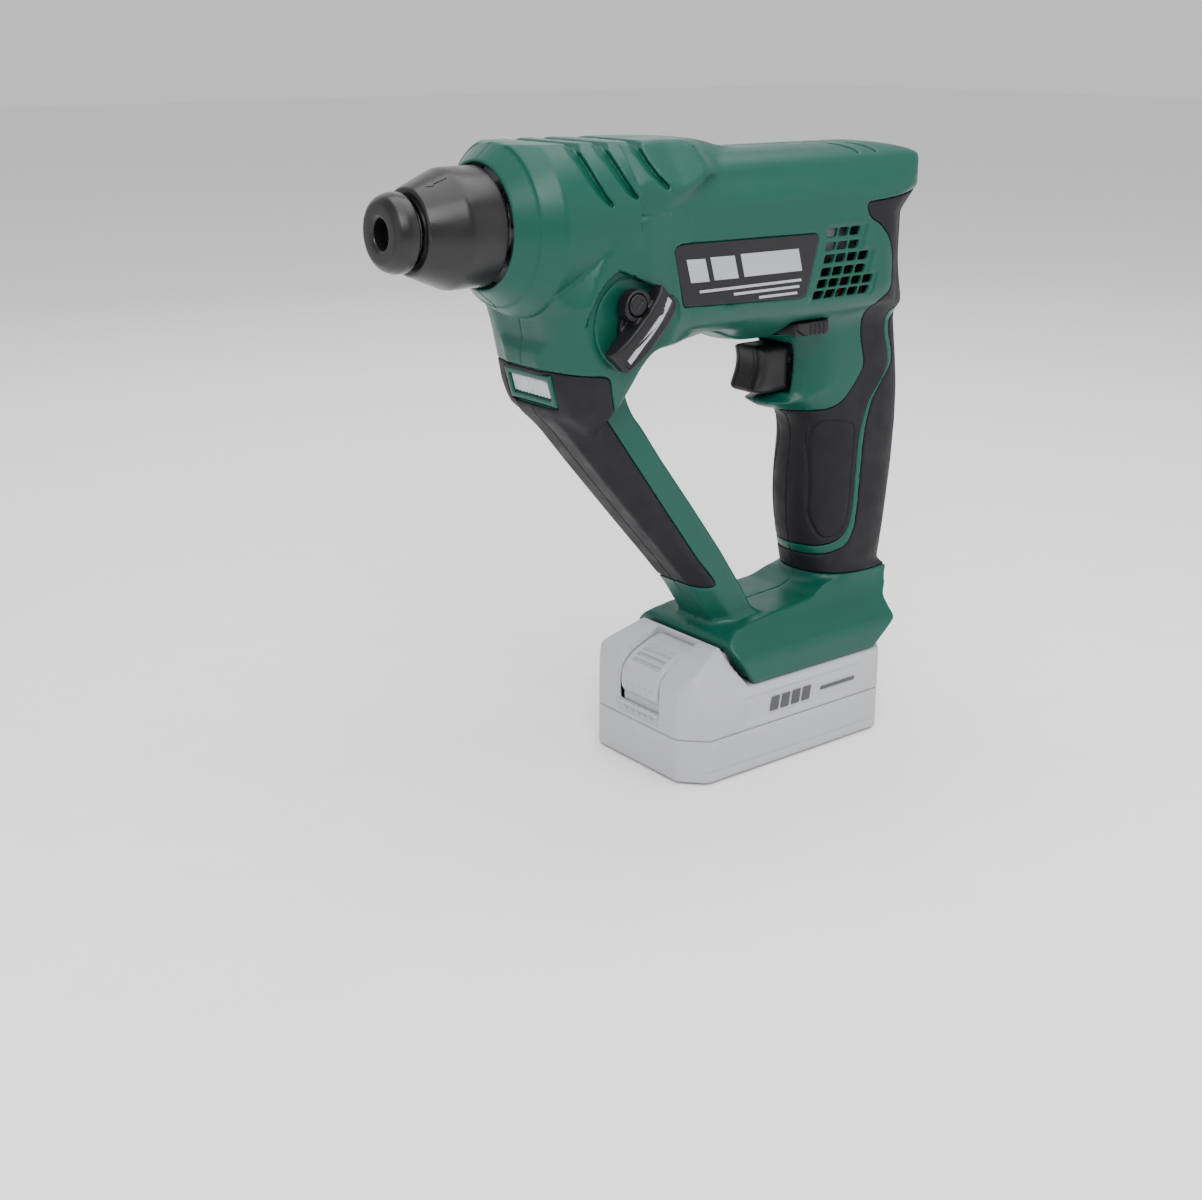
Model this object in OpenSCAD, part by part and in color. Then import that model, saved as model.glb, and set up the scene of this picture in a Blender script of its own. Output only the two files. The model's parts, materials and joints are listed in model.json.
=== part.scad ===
// Cordless rotary hammer with an in-line motor, a two-handed loop frame and a
// sliding battery pack.  +X is the drilling direction, +Y the tool's left side,
// +Z up; the origin is the centre of the battery's underside.

/* [Overall] */
// Height of the drilling axis above the battery's underside
axis_z = 226; // [224:1:228]
// Wall thickness of the plastic housing
wall = 2.6; // [2.2:0.1:2.8]
// Depth of the soft rubber that is moulded over the housing
rubber_t = 1.4; // [1:0.1:1.6]
// Facets of a full circle
$fn = 72; // [48:12:120]

/* [Housing] */
// Half width of the motor housing
body_half_w = 30; // [29.5:0.5:31]
// Radius of the round gear housing behind the chuck
nose_r = 34; // [33:0.5:34.5]
// Half width of the hand grip
grip_half_w = 19; // [18.5:0.5:20]
// Half width of the front strut
strut_half_w = 15; // [14.5:0.5:16]
// Half width of the battery foot at its lower edge
foot_half_w = 33.7; // [33:0.1:34]
// Height of the foot's lower edge
foot_z = 38; // [38:0.5:39]

/* [Chuck] */
// Radius of the sliding chuck sleeve
sleeve_r = 21; // [20:0.5:21.5]
// Radius of the bore that takes the drill shank
shank_r = 5.05; // [5.02:0.01:5.1]
// Radius of the locking balls
ball_r = 3.5; // [3.4:0.1:3.5]

/* [Hammer mechanism] */
// Bore radius of the spindle, in which the piston and striker slide
cylinder_r = 10.5; // [10.4:0.1:10.6]
// Running clearance of the piston and striker
slide_gap = 0.05; // [0.03:0.01:0.08]
// Distance from the drilling axis down to the intermediate shaft
inter_drop = 25; // [25:1:25]

/* [Gears] */
// Teeth of the spindle gear
spindle_teeth = 38; // [38:1:38]
// Teeth of the drive pinion on the intermediate shaft
drive_teeth = 12; // [12:1:12]
// Teeth of the large intermediate gear
inter_teeth = 36; // [36:1:36]
// Teeth of the motor pinion
motor_teeth = 9; // [9:1:9]

/* [Motor] */
// Radius of the motor can
can_r = 21; // [20:0.5:21]
// Length of the motor can
can_len = 56; // [52:1:58]

/* [Battery] */
// Length of the battery pack
pack_len = 116.8; // [115:0.1:118]
// Width of the battery pack
pack_w = 71.4; // [70:0.1:72]
// Height of the seam between the battery's two shells
pack_seam_z = 19.3; // [19:0.1:20]
// Number of battery cells
cell_count = 5; // [4:1:5]
// Radius of a battery cell
cell_r = 9.1; // [9:0.05:9.15]

/* [Hidden] */

green = "#00695c";
black = "#2b2830";
steel = "#b8bcc0";
far = 400;
seam = 0.02;

inter_z = axis_z - inter_drop;
drive_module = 2 * inter_drop / (spindle_teeth + drive_teeth);
motor_module = 0.8;
motor_z = inter_z + motor_module * (inter_teeth + motor_teeth) / 2;

// Chuck, along X
collar_x = 131.4;
collar_r = 21.6;
sleeve_x = 132;
cone_x = 146.5;
sleeve_front_x = 160.5;
tip_x = 171;
ball_x = 148;
ball_rest = 7.1;
lock_ring_r = 18.4;
tool_r = 10;

// Hammer mechanism, along X
spindle_rear_x = 55;
beat_guide_x = 92;
shank_end_x = 108;
beat_guide_r = 8;
finger_x = 38;
case_rear_x = 53.2;

// Motor, along X
can_front_x = 0;
can_rear_x = can_front_x - can_len;
motor_shaft_r = 1.6;

// Mode knob
knob_x = 85;
knob_z = 190;
knob_floor_y = 29;
recess_r = 21.5;
boss_r = 4.8;

// Battery
pack_x = pack_len / 2;
pack_y = pack_w / 2;
tower_half_w = 23.4;
neck_half_w = 20.2;
tower_top_z = 50;
latch_x = 44;

// ---------- outlines, as [x, z] seen from the left ----------

body_outline = [
    [-50, 183], [-71, 184], [-71, 202], [-74, 216.7], [-77, 225], [-80.5, 231.5],
    [-81.4, 235], [-77, 240.5], [-69, 244.5], [-56, 246.6], [22, 247], [29, 249],
    [37, 252.6], [46, 253.8], [112, 254], [117.4, 253], [124.6, 246],
    [124.6, 205], [119, 195], [114.6, 181], [112, 171], [108, 160], [92, 150],
    [84, 165], [80, 174], [74, 180.4], [20, 180.4]];

// Seen from above, left side only
body_plan = [
    [80, 0], [80, body_half_w], [-45, body_half_w], [-55, 28.6], [-64, 25],
    [-72, 19.4], [-78, 12.5], [-81.4, 5], [-81.4, 0]];

grip_outline = [
    [27, 184.5], [22, 177], [9, 173], [-9, 172], [-13, 166], [-12, 149],
    [-1, 148], [-5, 144], [-17, 141.5], [-24, 137], [-24.9, 130], [-23.4, 112],
    [-23.4, 100], [-24.6, 90], [-27, 79], [-30, 66], [-36, 55], [-70, 55],
    [-74, 66], [-76.6, 84], [-80, 113], [-81.1, 132], [-81.1, 147], [-80.4, 158],
    [-78.9, 176], [-78.5, 190], [0, 190]];

strut_outline = [
    [112, 176], [109, 162], [106, 156], [101.4, 150.7], [87.4, 133.7],
    [67.7, 110.6], [46.8, 86.5], [35.9, 73.5], [26, 58], [2, 54],
    [13.7, 73.3], [25.3, 90.7], [42, 113.4], [57.8, 134.2], [67.9, 148.6],
    [71.9, 153], [75.8, 161.2], [77, 172], [82, 182]];

foot_outline = [
    [22.7, foot_z], [30, 49], [32, 54], [24, 58.5], [5, 60.5], [-22, 62],
    [-32, 66], [-70, 68], [-66, 60], [-61, 56], [-60, 48], [-46, foot_z]];

body_section = [
    [0, 180.4], [20, 181.6], [26.5, 186], [body_half_w, 193],
    [body_half_w, 229], [27, 236.5], [21, 242.5], [12, 246], [0, 247.2]];

lower_front_section = [
    [0, 148], [17, 149], [23, 158], [28, 170], [30, 182], [nose_r, 205],
    [nose_r, axis_z], [0, axis_z]];

foot_section = [
    [0, foot_z], [foot_half_w, foot_z], [foot_half_w, 47], [30, 52],
    [23, 58], [19, 64], [17, 70], [0, 70]];

rubber_grip_outline = [
    [-33, 226.5], [-35.5, 220.5], [-41.5, 218], [-47.5, 212], [-50.5, 206],
    [-51.5, 192], [-48.5, 189], [-43.5, 185], [-45, 170], [-48, 159],
    [-44.5, 153.5], [-37, 145.5], [-31, 142], [-19.7, 141], [-11, 141],
    [0, 130], [0, 70], [-100, 66], [-100, 231], [-69, 229.5], [-48, 227.5]];

inlay_outline = [
    [-90, 188], [-72, 184], [-59, 180], [-58.5, 172], [-61.5, 163.5], [-62.6, 157],
    [-57.6, 150.5], [-51, 142.5], [-47.5, 133], [-46.3, 125], [-45.5, 110],
    [-45, 99], [-43.5, 90], [-40, 84.5], [-32, 81.5], [0, 80],
    [0, 76.5], [-33, 77.5], [-43, 81], [-47, 89], [-48.2, 99], [-48.8, 110],
    [-49.6, 125], [-50.8, 134], [-54, 144], [-60.6, 152.5], [-66, 158],
    [-65, 164], [-62, 172], [-62.5, 177], [-75, 181], [-90, 185]];

rubber_strut_outline = [
    [130, 176], [95, 173], [92.4, 165.7], [88.6, 157.8], [80, 145.9],
    [60, 118.4], [38.7, 89.4], [30.3, 79.7], [28.3, 76.5], [32, 75.5],
    [38.3, 77], [60, 86], [90, 110], [140, 150]];

label_outline = [
    [66.8, 216], [64, 217.5], [-5.9, 216.5], [-7.2, 214.8], [-1.5, 193.5],
    [0.7, 192.2], [61.5, 194.6]];

boss_places = [
    [-68, 228], [-68, 178], [-66, 100], [-46, 72], [16, 68], [56, 122],
    [96, 164], [-25, 143.6]];

// ---------- shared shapes ----------

module along_x(x0, x1, r, z = axis_z) {
    translate([x0, 0, z]) rotate([0, 90, 0]) cylinder(h = x1 - x0, r = r);
}

module along_y(y0, y1, r, x, z) {
    translate([x, y1, z]) rotate([90, 0, 0]) cylinder(h = y1 - y0, r = r);
}

// Solid of revolution about an axis along X; points are [radius, x]
module turned(points, z = axis_z) {
    translate([0, 0, z]) rotate([0, 90, 0]) rotate_extrude() polygon(points);
}

// Ring about an axis along X
module ring_x(x0, x1, inner, outer, z = axis_z) {
    turned([[inner, x0], [outer, x0], [outer, x1], [inner, x1]], z);
}

// A side outline given thickness across the tool, from y0 to y1
module side_slab(y0, y1) {
    translate([0, y1, 0]) rotate([90, 0, 0]) linear_extrude(y1 - y0) children();
}

module side_shape(points, inset) {
    offset(delta = -inset) polygon(points);
}

// A half section in [y, z], mirrored and run along X
module section_slab(x0, x1, points, inset) {
    translate([x0, 0, 0]) rotate([90, 0, 90]) linear_extrude(x1 - x0)
        offset(delta = -inset) union() {
            polygon(points);
            mirror([1, 0]) polygon(points);
        }
}

module rounded_rect(x0, x1, half_w, r) {
    translate([x0 + r, -half_w + r]) offset(r = r)
        square([x1 - x0 - 2 * r, 2 * (half_w - r)]);
}

module left_half() {
    intersection() {
        children();
        translate([-far, seam, -1]) cube([2 * far, far, far]);
    }
}

module right_half() {
    intersection() {
        children();
        translate([-far, -far - seam, -1]) cube([2 * far, far, far]);
    }
}

// ---------- outer form of the tool, shrunk by inset ----------

module nose_form(inset) {
    intersection() {
        turned([[0, 50 + inset], [nose_r - inset, 50 + inset],
            [nose_r - inset, 117.4 - inset / 2], [29 - inset, 124.6 - inset],
            [0, 124.6 - inset]]);
        translate([0, -far / 2, 0]) cube([far, far, 254 - inset]);
    }
}

module body_form(inset) {
    intersection() {
        side_slab(-nose_r, nose_r) side_shape(body_outline, inset);
        section_slab(-95, 60, body_section, inset);
        linear_extrude(far) offset(delta = -inset) union() {
            polygon(body_plan);
            mirror([0, 1]) polygon(body_plan);
        }
    }
    nose_form(inset);
    intersection() {
        side_slab(-nose_r, nose_r) side_shape(body_outline, inset);
        section_slab(48 + inset, 119 - inset, lower_front_section, inset);
    }
}

module grip_form(inset) {
    intersection() {
        side_slab(-30, 30) side_shape(grip_outline, inset);
        linear_extrude(far) rounded_rect(-82 + inset, 40, grip_half_w - inset, 17 - inset);
    }
}

module strut_form(inset) {
    intersection() {
        side_slab(-30, 30) side_shape(strut_outline, inset);
        side_slab(-strut_half_w + inset, strut_half_w - inset) square([far, far]);
    }
}

module foot_form(inset) {
    intersection() {
        side_slab(-40, 40) side_shape(foot_outline, inset);
        section_slab(-80, 40, foot_section, inset);
    }
}

module tool_form(inset) {
    body_form(inset);
    grip_form(inset);
    strut_form(inset);
    foot_form(inset);
}

module collar() {
    turned([[collar_r, 119], [28, 119], [28.6, 124.4], [collar_r + 1.2, collar_x],
        [collar_r, collar_x]]);
}

// Hollow that the battery's tower slides into
module foot_hollow() {
    translate([-52, -tower_half_w - 0.5, foot_z - 1]) cube([90, 2 * tower_half_w + 1, 14.6]);
    translate([-52, -foot_half_w + wall, foot_z - 1]) cube([84, 2 * (foot_half_w - wall), 3]);
}

// Rails that carry the battery's tower
module foot_rails() {
    for (side = [-1, 1])
        translate([-50, side * 23.9 - 3, 40.2]) cube([72, 6, 3.4]);
}

module vent_slots() {
    for (row = [0:5])
        for (column = [0:1])
            translate([-13 - row - column * 13 - 10, body_half_w - 6, 216 - row * 4.6])
                cube([9, 12, 2.4]);
}

module boss_posts() {
    for (place = boss_places) along_y(-nose_r, nose_r, boss_r, place[0], place[1]);
}

module screw_holes() {
    for (place = boss_places) {
        along_y(-14, 12, 1.45, place[0], place[1]);
        along_y(-far / 4, -8, 1.9, place[0], place[1]);
        along_y(-far / 4, -11, 3.6, place[0], place[1]);
    }
}

// Space cleared for the mechanism
module working_space() {
    tool_form(wall);
    along_x(110, collar_x + 1, collar_r);
}

module housing_body() {
    difference() {
        union() {
            difference() {
                tool_form(0);
                working_space();
            }
            intersection() {
                boss_posts();
                tool_form(wall / 2);
            }
            collar();
            foot_floor();
        }
        screw_holes();
        along_x(118, collar_x + 1, collar_r);
        foot_hollow();
        overmould_pockets();
        openings();
    }
    foot_rails();
}

// Deck that closes the foot above the battery's tower
module foot_floor() {
    translate([-50, -26, 51.5]) cube([72, 52, 2.2]);
    for (side = [-1, 1])
        translate([-50, side * 26 - 1.2, 40]) cube([72, 2.4, 13]);
}

module openings() {
    vent_slots();
    mirror([0, 1, 0]) vent_slots();
    knob_recess();
    trigger_window();
    lever_window();
    lamp_window();
    label_pocket();
    mirror([0, 1, 0]) label_pocket();
}

module knob_recess() {
    along_y(knob_floor_y + 1, far / 4, recess_r, knob_x, knob_z);
    along_y(20, far / 4, 13.2, knob_x, knob_z);
}

module trigger_window() {
    translate([-16, -9.3, 149.6]) cube([40, 18.6, 20.8]);
}

module lever_window() {
    translate([-22, -40, 174.6]) cube([20, 80, 6.8]);
}

module lamp_window() {
    lamp_frame(0, 4.05, 12);
}

module label_pocket() {
    side_slab(body_half_w - 1, far / 4) polygon(label_outline);
}

// The skin of the form inside a side outline
module skin_patch(points) {
    difference() {
        intersection() {
            children();
            side_slab(-40, 40) polygon(points);
        }
        side_slab(-60, 60) polygon(inlay_outline);
    }
}

module grip_skin() {
    difference() {
        union() {
            body_form(0);
            grip_form(0);
        }
        body_form(rubber_t);
        grip_form(rubber_t);
    }
}

module strut_skin() {
    difference() {
        strut_form(0);
        strut_form(rubber_t);
    }
}

module grip_rubber() {
    skin_patch(rubber_grip_outline) grip_skin();
}

module strut_rubber() {
    difference() {
        intersection() {
            strut_skin();
            side_slab(-40, 40) polygon(rubber_strut_outline);
        }
        lamp_frame(-1, 4.05, 12);
        body_form(0);
    }
}

module overmould_pockets() {
    grip_rubber();
    strut_rubber();
}

// ---------- housing nodes ----------

module housing_left() {
    color(green) left_half() housing_body();
}

module housing_right() {
    color(green) right_half() housing_body();
}

module grip_rubber_left() {
    color(black) left_half() grip_rubber();
}

module grip_rubber_right() {
    color(black) right_half() grip_rubber();
}

module strut_rubber_left() {
    color(black) left_half() strut_rubber();
}

module strut_rubber_right() {
    color(black) right_half() strut_rubber();
}

module label_plate() {
    side_slab(body_half_w - 1, body_half_w) offset(delta = -0.2) polygon(label_outline);
}

module label_plate_left() {
    color(black) label_plate();
}

module label_plate_right() {
    color(black) mirror([0, 1, 0]) label_plate();
}

// Block on the lamp's sloping face, from depth behind the face to proud before it
module lamp_frame(inset, depth, proud = 0) {
    translate([109.8, 0, 166.5]) rotate([0, -16, 0])
        translate([-depth, -14.5 + inset, -6.5 + inset])
            cube([depth + proud, 29 - 2 * inset, 13 - 2 * inset]);
}

module lamp_bezel() {
    color(green) difference() {
        lamp_frame(0, 4);
        lamp_frame(2.6, 9, 1);
    }
}

module lamp_lens() {
    color("#dfe8e8") translate([-0.6, 0, 0]) lamp_frame(2.8, 3);
}

module screw_shape(place) {
    along_y(-13, 11, 1.4, place[0], place[1]);
    difference() {
        along_y(-15, -11.2, 3.4, place[0], place[1]);
        along_y(-16, -13, 1.3, place[0], place[1]);
    }
}

module housing_screws() {
    color(steel) for (place = boss_places) screw_shape(place);
}

// ---------- gears ----------

function involute_lag(a) = tan(a) * 180 / PI - a;
function gear_half_angle(r, pitch_r, teeth, backlash) =
    90 / teeth * (1 - backlash) + involute_lag(20)
    - involute_lag(acos(min(1, pitch_r * cos(20) / r)));
function gear_side(radii, pitch_r, teeth, backlash, middle, sign) =
    [for (r = radii) let (a = middle + sign * gear_half_angle(r, pitch_r, teeth, backlash))
        [r * cos(a), r * sin(a)]];

// Spur gear about an axis along X, with tooth 0 pointing down
module spur_gear(teeth, modul, tip, x0, x1, z, turn = 0) {
    pitch_r = modul * teeth / 2;
    root_r = pitch_r - 1.2 * modul;
    radii = [root_r, max(root_r, pitch_r * cos(20)) + 0.05, pitch_r, pitch_r + tip];
    backlash = 0.12;
    translate([x0, 0, z]) rotate([0, 90, 0]) rotate([0, 0, turn]) linear_extrude(x1 - x0)
        polygon([for (i = [0:teeth - 1]) each concat(
            gear_side(radii, pitch_r, teeth, backlash, i * 360 / teeth, -1),
            [for (k = [3:-1:0])
                gear_side(radii, pitch_r, teeth, backlash, i * 360 / teeth, 1)[k]])]);
}

// Ball bearing about an axis along X, as rings with a shallow shield groove
module ball_bearing(x0, x1, inner, outer, z = axis_z) {
    groove_in = inner + (outer - inner) * 0.3;
    groove_out = outer - (outer - inner) * 0.3;
    difference() {
        ring_x(x0, x1, inner, outer, z);
        ring_x(x0 - 1, x0 + 0.5, groove_in, groove_out, z);
        ring_x(x1 - 0.5, x1 + 1, groove_in, groove_out, z);
    }
}

// ---------- gear case and spindle ----------

module case_section(x0, x1, grow) {
    along_x(x0, x1, 21.6 + grow);
    along_x(x0, x1, 15.6 + grow, inter_z);
}

module gear_case() {
    color("silver") difference() {
        union() {
            case_section(case_rear_x, 112, 1.8);
            along_x(108, 118, 20.8);
            ring_x(118, 121, 12.9, 21.4);
        }
        difference() {
            case_section(40, 110, 0);
            inter_bearing_wall();
        }
        along_x(90, 103, 6.5, inter_z);
        along_x(96, 101, 8.02, inter_z);
        along_x(105, 120, 18.52);
        along_x(100, 130, 13);
        knob_bore();
    }
}

module inter_bearing_wall() {
    difference() {
        along_x(94, 101, 15.7, inter_z);
        along_x(90, 105, 17);
    }
}

module knob_bore() {
    translate([knob_x - 9, 9, knob_z - 8]) cube([18, 30, 16]);
}

// Plate between the motor and the gears; it carries both shafts' rear bearings
module bearing_plate() {
    color("silver") difference() {
        union() {
            along_x(11, 15, 22.5, motor_z);
            along_x(11, 15, 16.2, inter_z);
            for (side = [-1, 1])
                translate([14, side * 20.3, motor_z - 3]) rotate([0, 90, 0])
                    cylinder(h = case_rear_x - 14, r = 2.4);
        }
        along_x(10, 16, 5, motor_z);
        along_x(12.5, 16, 8.02, inter_z);
        along_x(10, 16, 4, inter_z);
    }
}

module front_bearing() {
    color(steel) ball_bearing(111, 118, 12.52, 18.5);
}

module rear_bearing() {
    color("#b08d57") difference() {
        union() {
            ring_x(57, 60.5, 13.05, 21.5);
            ring_x(57, 58.5, 21, 21.58);
        }
        ring_x(54, 57.6, 15.5, 19.5);
        along_x(50, 65, 11.2, inter_z);
    }
}

module nose_seal() {
    color(black) ring_x(118.1, 119.9, 12.56, 18.4);
}

module spindle() {
    color(steel) difference() {
        turned([
            [0, spindle_rear_x], [13, spindle_rear_x], [13, 76.4], [14.5, 76.4],
            [14.5, 78.4], [13, 78.4], [13, 108], [12.5, 109], [12.5, 122.4],
            [15, 122.4], [15, 124.2], [tool_r, 124.2], [tool_r, 161], [tool_r - 0.8, 161], [tool_r - 0.8, 162.2],
            [tool_r, 162.2], [tool_r, 164.6], [tool_r - 1, 165.4], [0, 165.4]]);
        along_x(50, beat_guide_x, cylinder_r);
        along_x(90, shank_end_x, beat_guide_r);
        difference() {
            along_x(100, 180, shank_r);
            drive_keys();
        }
        translate([ball_x, 0, axis_z]) cylinder(h = 40, r = ball_r + 0.05, center = true);
    }
}

// Two ribs in the bore that turn the drill shank
module drive_keys() {
    for (side = [-1, 1])
        translate([124, side * 4.7 - 0.7, axis_z - 1.2]) cube([30, 1.4, 2.4]);
}

module spindle_gear() {
    color("#9a9da3") difference() {
        spur_gear(spindle_teeth, drive_module, 0.75, 66, 76.3, axis_z);
        along_x(60, 80, 13);
        for (turn = [0:60:359])
            translate([0, 0, axis_z]) rotate([turn, 0, 0]) translate([60, 0, 15.4])
                rotate([0, 90, 0]) cylinder(h = 20, r = 1.5);
    }
}

// Coil spring as a stack of rings joined by short struts
module ring_spring(x0, x1, r, wire, turns) {
    pitch = (x1 - x0 - 2 * wire) / turns;
    for (i = [0:turns])
        translate([x0 + wire + i * pitch, 0, axis_z]) rotate([0, 90, 0])
            rotate_extrude() translate([r, 0]) circle(r = wire, $fn = 16);
    for (i = [0:turns - 1])
        translate([x0 + wire + i * pitch, -wire / 2, axis_z - wire / 2])
            rotate([90 + i * 180, 0, 0]) translate([0, -wire / 2, r - wire / 2])
                cube([pitch, wire, wire]);
}

module clutch_spring() {
    color("#777b80") ring_spring(79, 104, 15, 1.1, 5);
}

module retaining_ring() {
    color("#8a8d92") ring_x(161.1, 162.1, tool_r - 0.75, tool_r + 1.3);
}

module dust_cap() {
    color("#1d1d1f") turned([
        [tool_r + 0.03, 162.4], [13.2, 162.4], [13.7, 163.4], [13.7, 166.5],
        [12.6, 169.6], [10.6, tip_x], [6.2, tip_x], [shank_r + 0.15, tip_x - 1],
        [shank_r + 0.15, 165.5], [tool_r + 0.03, 165.5]]);
}

module chuck_sleeve() {
    color("#1d1d1f") difference() {
        turned([
            [sleeve_r - 2.2, sleeve_x], [sleeve_r - 0.4, sleeve_x], [sleeve_r, sleeve_x + 0.6],
            [sleeve_r, cone_x], [15.2, sleeve_front_x - 0.6], [14.6, sleeve_front_x],
            [11.8, sleeve_front_x], [11.8, 158], [14.4, 157.8],
            [lock_ring_r, cone_x - 0.1], [lock_ring_r, 142], [sleeve_r - 2.2, 141.5]]);
        for (turn = [0:30:359])
            translate([0, 0, axis_z]) rotate([turn, 0, 0])
                translate([134, 0, sleeve_r + 0.6]) rotate([0, 90, 0])
                    cylinder(h = 11, r = 1.2);
    }
}

// Steel ring in the sleeve that holds the balls in, with a pocket that frees them
module lock_ring() {
    color(steel) turned([
        [10.8, 144.5], [lock_ring_r, 144.5], [lock_ring_r, 146], [17, 147],
        [14, 157.4], [13.3, 157.4], [13.3, 156.5], [10.8, ball_x]]);
}

module sleeve_spring() {
    color("#777b80") ring_spring(124.5, 143.5, 13.4, 0.8, 5);
}

module locking_ball(side) {
    color(steel) translate([ball_x, 0, axis_z + side * ball_rest]) sphere(r = ball_r);
}

module locking_ball_upper() {
    locking_ball(1);
}

module locking_ball_lower() {
    locking_ball(-1);
}

// ---------- hammer mechanism ----------

module piston() {
    color("#9fb0b8") difference() {
        union() {
            turned([
                [0, 44], [6, 44], [6, 58], [cylinder_r - slide_gap, 58],
                [cylinder_r - slide_gap, 60], [cylinder_r - 1, 60], [cylinder_r - 1, 62],
                [cylinder_r - slide_gap, 62], [cylinder_r - slide_gap, 66], [0, 66]]);
            intersection() {
                along_x(30.5, 45.5, cylinder_r - 0.3);
                translate([30, -8, axis_z - 8]) cube([16, 16, 16]);
            }
        }
        translate([finger_x, 0, axis_z - 9]) cylinder(h = 20, r = 3.3);
        translate([finger_x, 0, axis_z - 9]) cylinder(h = 8, r1 = 6, r2 = 3.3);
        translate([30, -9, axis_z - 9]) cube([5.6, 18, 7.4]);
    }
}

module striker() {
    color(steel) turned([
        [0, 74.5], [cylinder_r - slide_gap, 74.5], [cylinder_r - slide_gap, 78],
        [cylinder_r - 1, 78], [cylinder_r - 1, 80], [cylinder_r - slide_gap, 80],
        [cylinder_r - slide_gap, 84], [6, 85], [6, 88], [0, 88]]);
}

module beat_piece() {
    color(steel) turned([
        [0, 95.6], [7, 95.6], [beat_guide_r - slide_gap, 96.6],
        [beat_guide_r - slide_gap, 103.2], [4.6, 103.4], [4.6, 111], [0, 111]]);
}

module intermediate_shaft() {
    color(steel) difference() {
        union() {
            turned([[0, 12.6], [4, 12.6], [4, 18], [5, 18], [5, 87], [0, 87]], inter_z);
            spur_gear(drive_teeth, drive_module, 0.9, 60.5, 82, inter_z, 180 / drive_teeth);
            along_x(80, 101, 5, inter_z);
        }
        along_x(98, 102, 1.6, inter_z);
    }
}

module intermediate_gear() {
    color("#9a9da3") difference() {
        spur_gear(inter_teeth, motor_module, 0.45, 19, 26, inter_z);
        along_x(10, 30, 5.02, inter_z);
        ring_x(23.5, 27, 7, 11.5, inter_z);
    }
}

// Ball-shaped hub with an oblique track; it swings the ring as the shaft turns
module wobble_hub() {
    color(steel) difference() {
        intersection() {
            translate([finger_x, 0, inter_z]) sphere(r = 10);
            along_x(finger_x - 7, finger_x + 7, 12, inter_z);
        }
        along_x(20, 60, 5.02, inter_z);
        translate([finger_x, 0, inter_z]) rotate([0, 0, 15]) rotate([0, 90, 0])
            rotate_extrude() translate([10.4, 0]) circle(r = 1.6, $fn = 24);
    }
}

module wobble_ring() {
    color("#9a9da3") difference() {
        union() {
            along_x(finger_x - 4.5, finger_x + 4.5, 13.4, inter_z);
            translate([finger_x, 0, inter_z + 12]) cylinder(h = inter_drop - 12, r = 2.3);
            translate([finger_x, 0, inter_z + 12]) cylinder(h = 4, r1 = 4.5, r2 = 2.3);
            translate([finger_x, 0, axis_z]) sphere(r = 3);
        }
        translate([finger_x, 0, inter_z]) sphere(r = 10.3);
        along_x(20, 60, 9.6, inter_z);
    }
}

module dog_clutch() {
    color("#85888e") difference() {
        union() {
            ring_x(49.5, 52, 5.04, 10.5, inter_z);
            ring_x(52, 54.5, 5.04, 8.4, inter_z);
            ring_x(54.5, 57, 5.04, 10.5, inter_z);
        }
        for (turn = [0:60:359])
            translate([0, 0, inter_z]) rotate([turn, 0, 0]) translate([56, 0, 9.4])
                rotate([0, 90, 0]) cylinder(h = 2, r = 1.3);
    }
}

// Fork that the mode knob pushes; its two prongs ride in the clutch's groove
module selector_fork() {
    color(steel) difference() {
        union() {
            translate([52.3, -11.5, inter_z - 3]) cube([1.9, 24.2, 15]);
            translate([52.3, 12.6, inter_z - 3]) cube([33, 2, 6]);
            translate([knob_x - 4, 12.6, knob_z]) cube([8, 2, 14]);
        }
        along_x(50, 58, 8.75, inter_z);
        translate([50, -8.75, inter_z - 10]) cube([8, 17.5, 10]);
        translate([knob_x - 1.75, 10, knob_z - 1]) cube([3.5, 8, 6.6]);
    }
}

module intermediate_bearings() {
    color(steel) {
        ball_bearing(12.6, 17, 4.0, 8, inter_z);
        ball_bearing(96, 101, 5.0, 8, inter_z);
    }
}

// ---------- motor ----------

module motor_can() {
    color("#5b5e63") difference() {
        union() {
            along_x(can_rear_x, can_front_x, can_r, motor_z);
            along_x(can_front_x - 1, can_front_x + 2, 7.5, motor_z);
        }
        along_x(can_rear_x - 1, can_front_x - 1.5, can_r - 1.5, motor_z);
        along_x(can_front_x - 6, can_front_x + 4, 5.52, motor_z);
        for (turn = [0:90:359])
            translate([0, 0, motor_z]) rotate([turn + 45, 0, 0])
                translate([can_front_x - 8, 0, 13]) rotate([0, 90, 0]) cylinder(h = 10, r = 3);
    }
}

module motor_magnets() {
    color("#3a3a3e") intersection() {
        ring_x(can_rear_x + 12, can_front_x - 6, can_r - 5.4, can_r - 1.55, motor_z);
        for (side = [-1, 1])
            translate([can_rear_x, side * 13 - 13, motor_z - 9]) cube([can_len, 26, 18]);
    }
}

module armature() {
    color("#b87333") difference() {
        union() {
            along_x(can_rear_x + 14, can_front_x - 12, 14.8, motor_z);
            turned([[0, can_front_x - 12], [12, can_front_x - 12], [9, can_front_x - 7],
                [0, can_front_x - 7]], motor_z);
            turned([[0, can_rear_x + 10.5], [9, can_rear_x + 10.5], [12, can_rear_x + 14],
                [0, can_rear_x + 14]], motor_z);
            along_x(can_rear_x + 3, can_rear_x + 10.5, 6, motor_z);
        }
        along_x(can_rear_x - 1, can_front_x + 1, motor_shaft_r, motor_z);
        for (turn = [0:45:359])
            translate([0, 0, motor_z]) rotate([turn, 0, 0])
                translate([can_rear_x + 13, -1, 12]) cube([can_len - 24.5, 2, 5]);
    }
}

module motor_shaft() {
    color(steel) along_x(can_rear_x - 5, 27.5, motor_shaft_r, motor_z);
}

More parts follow.
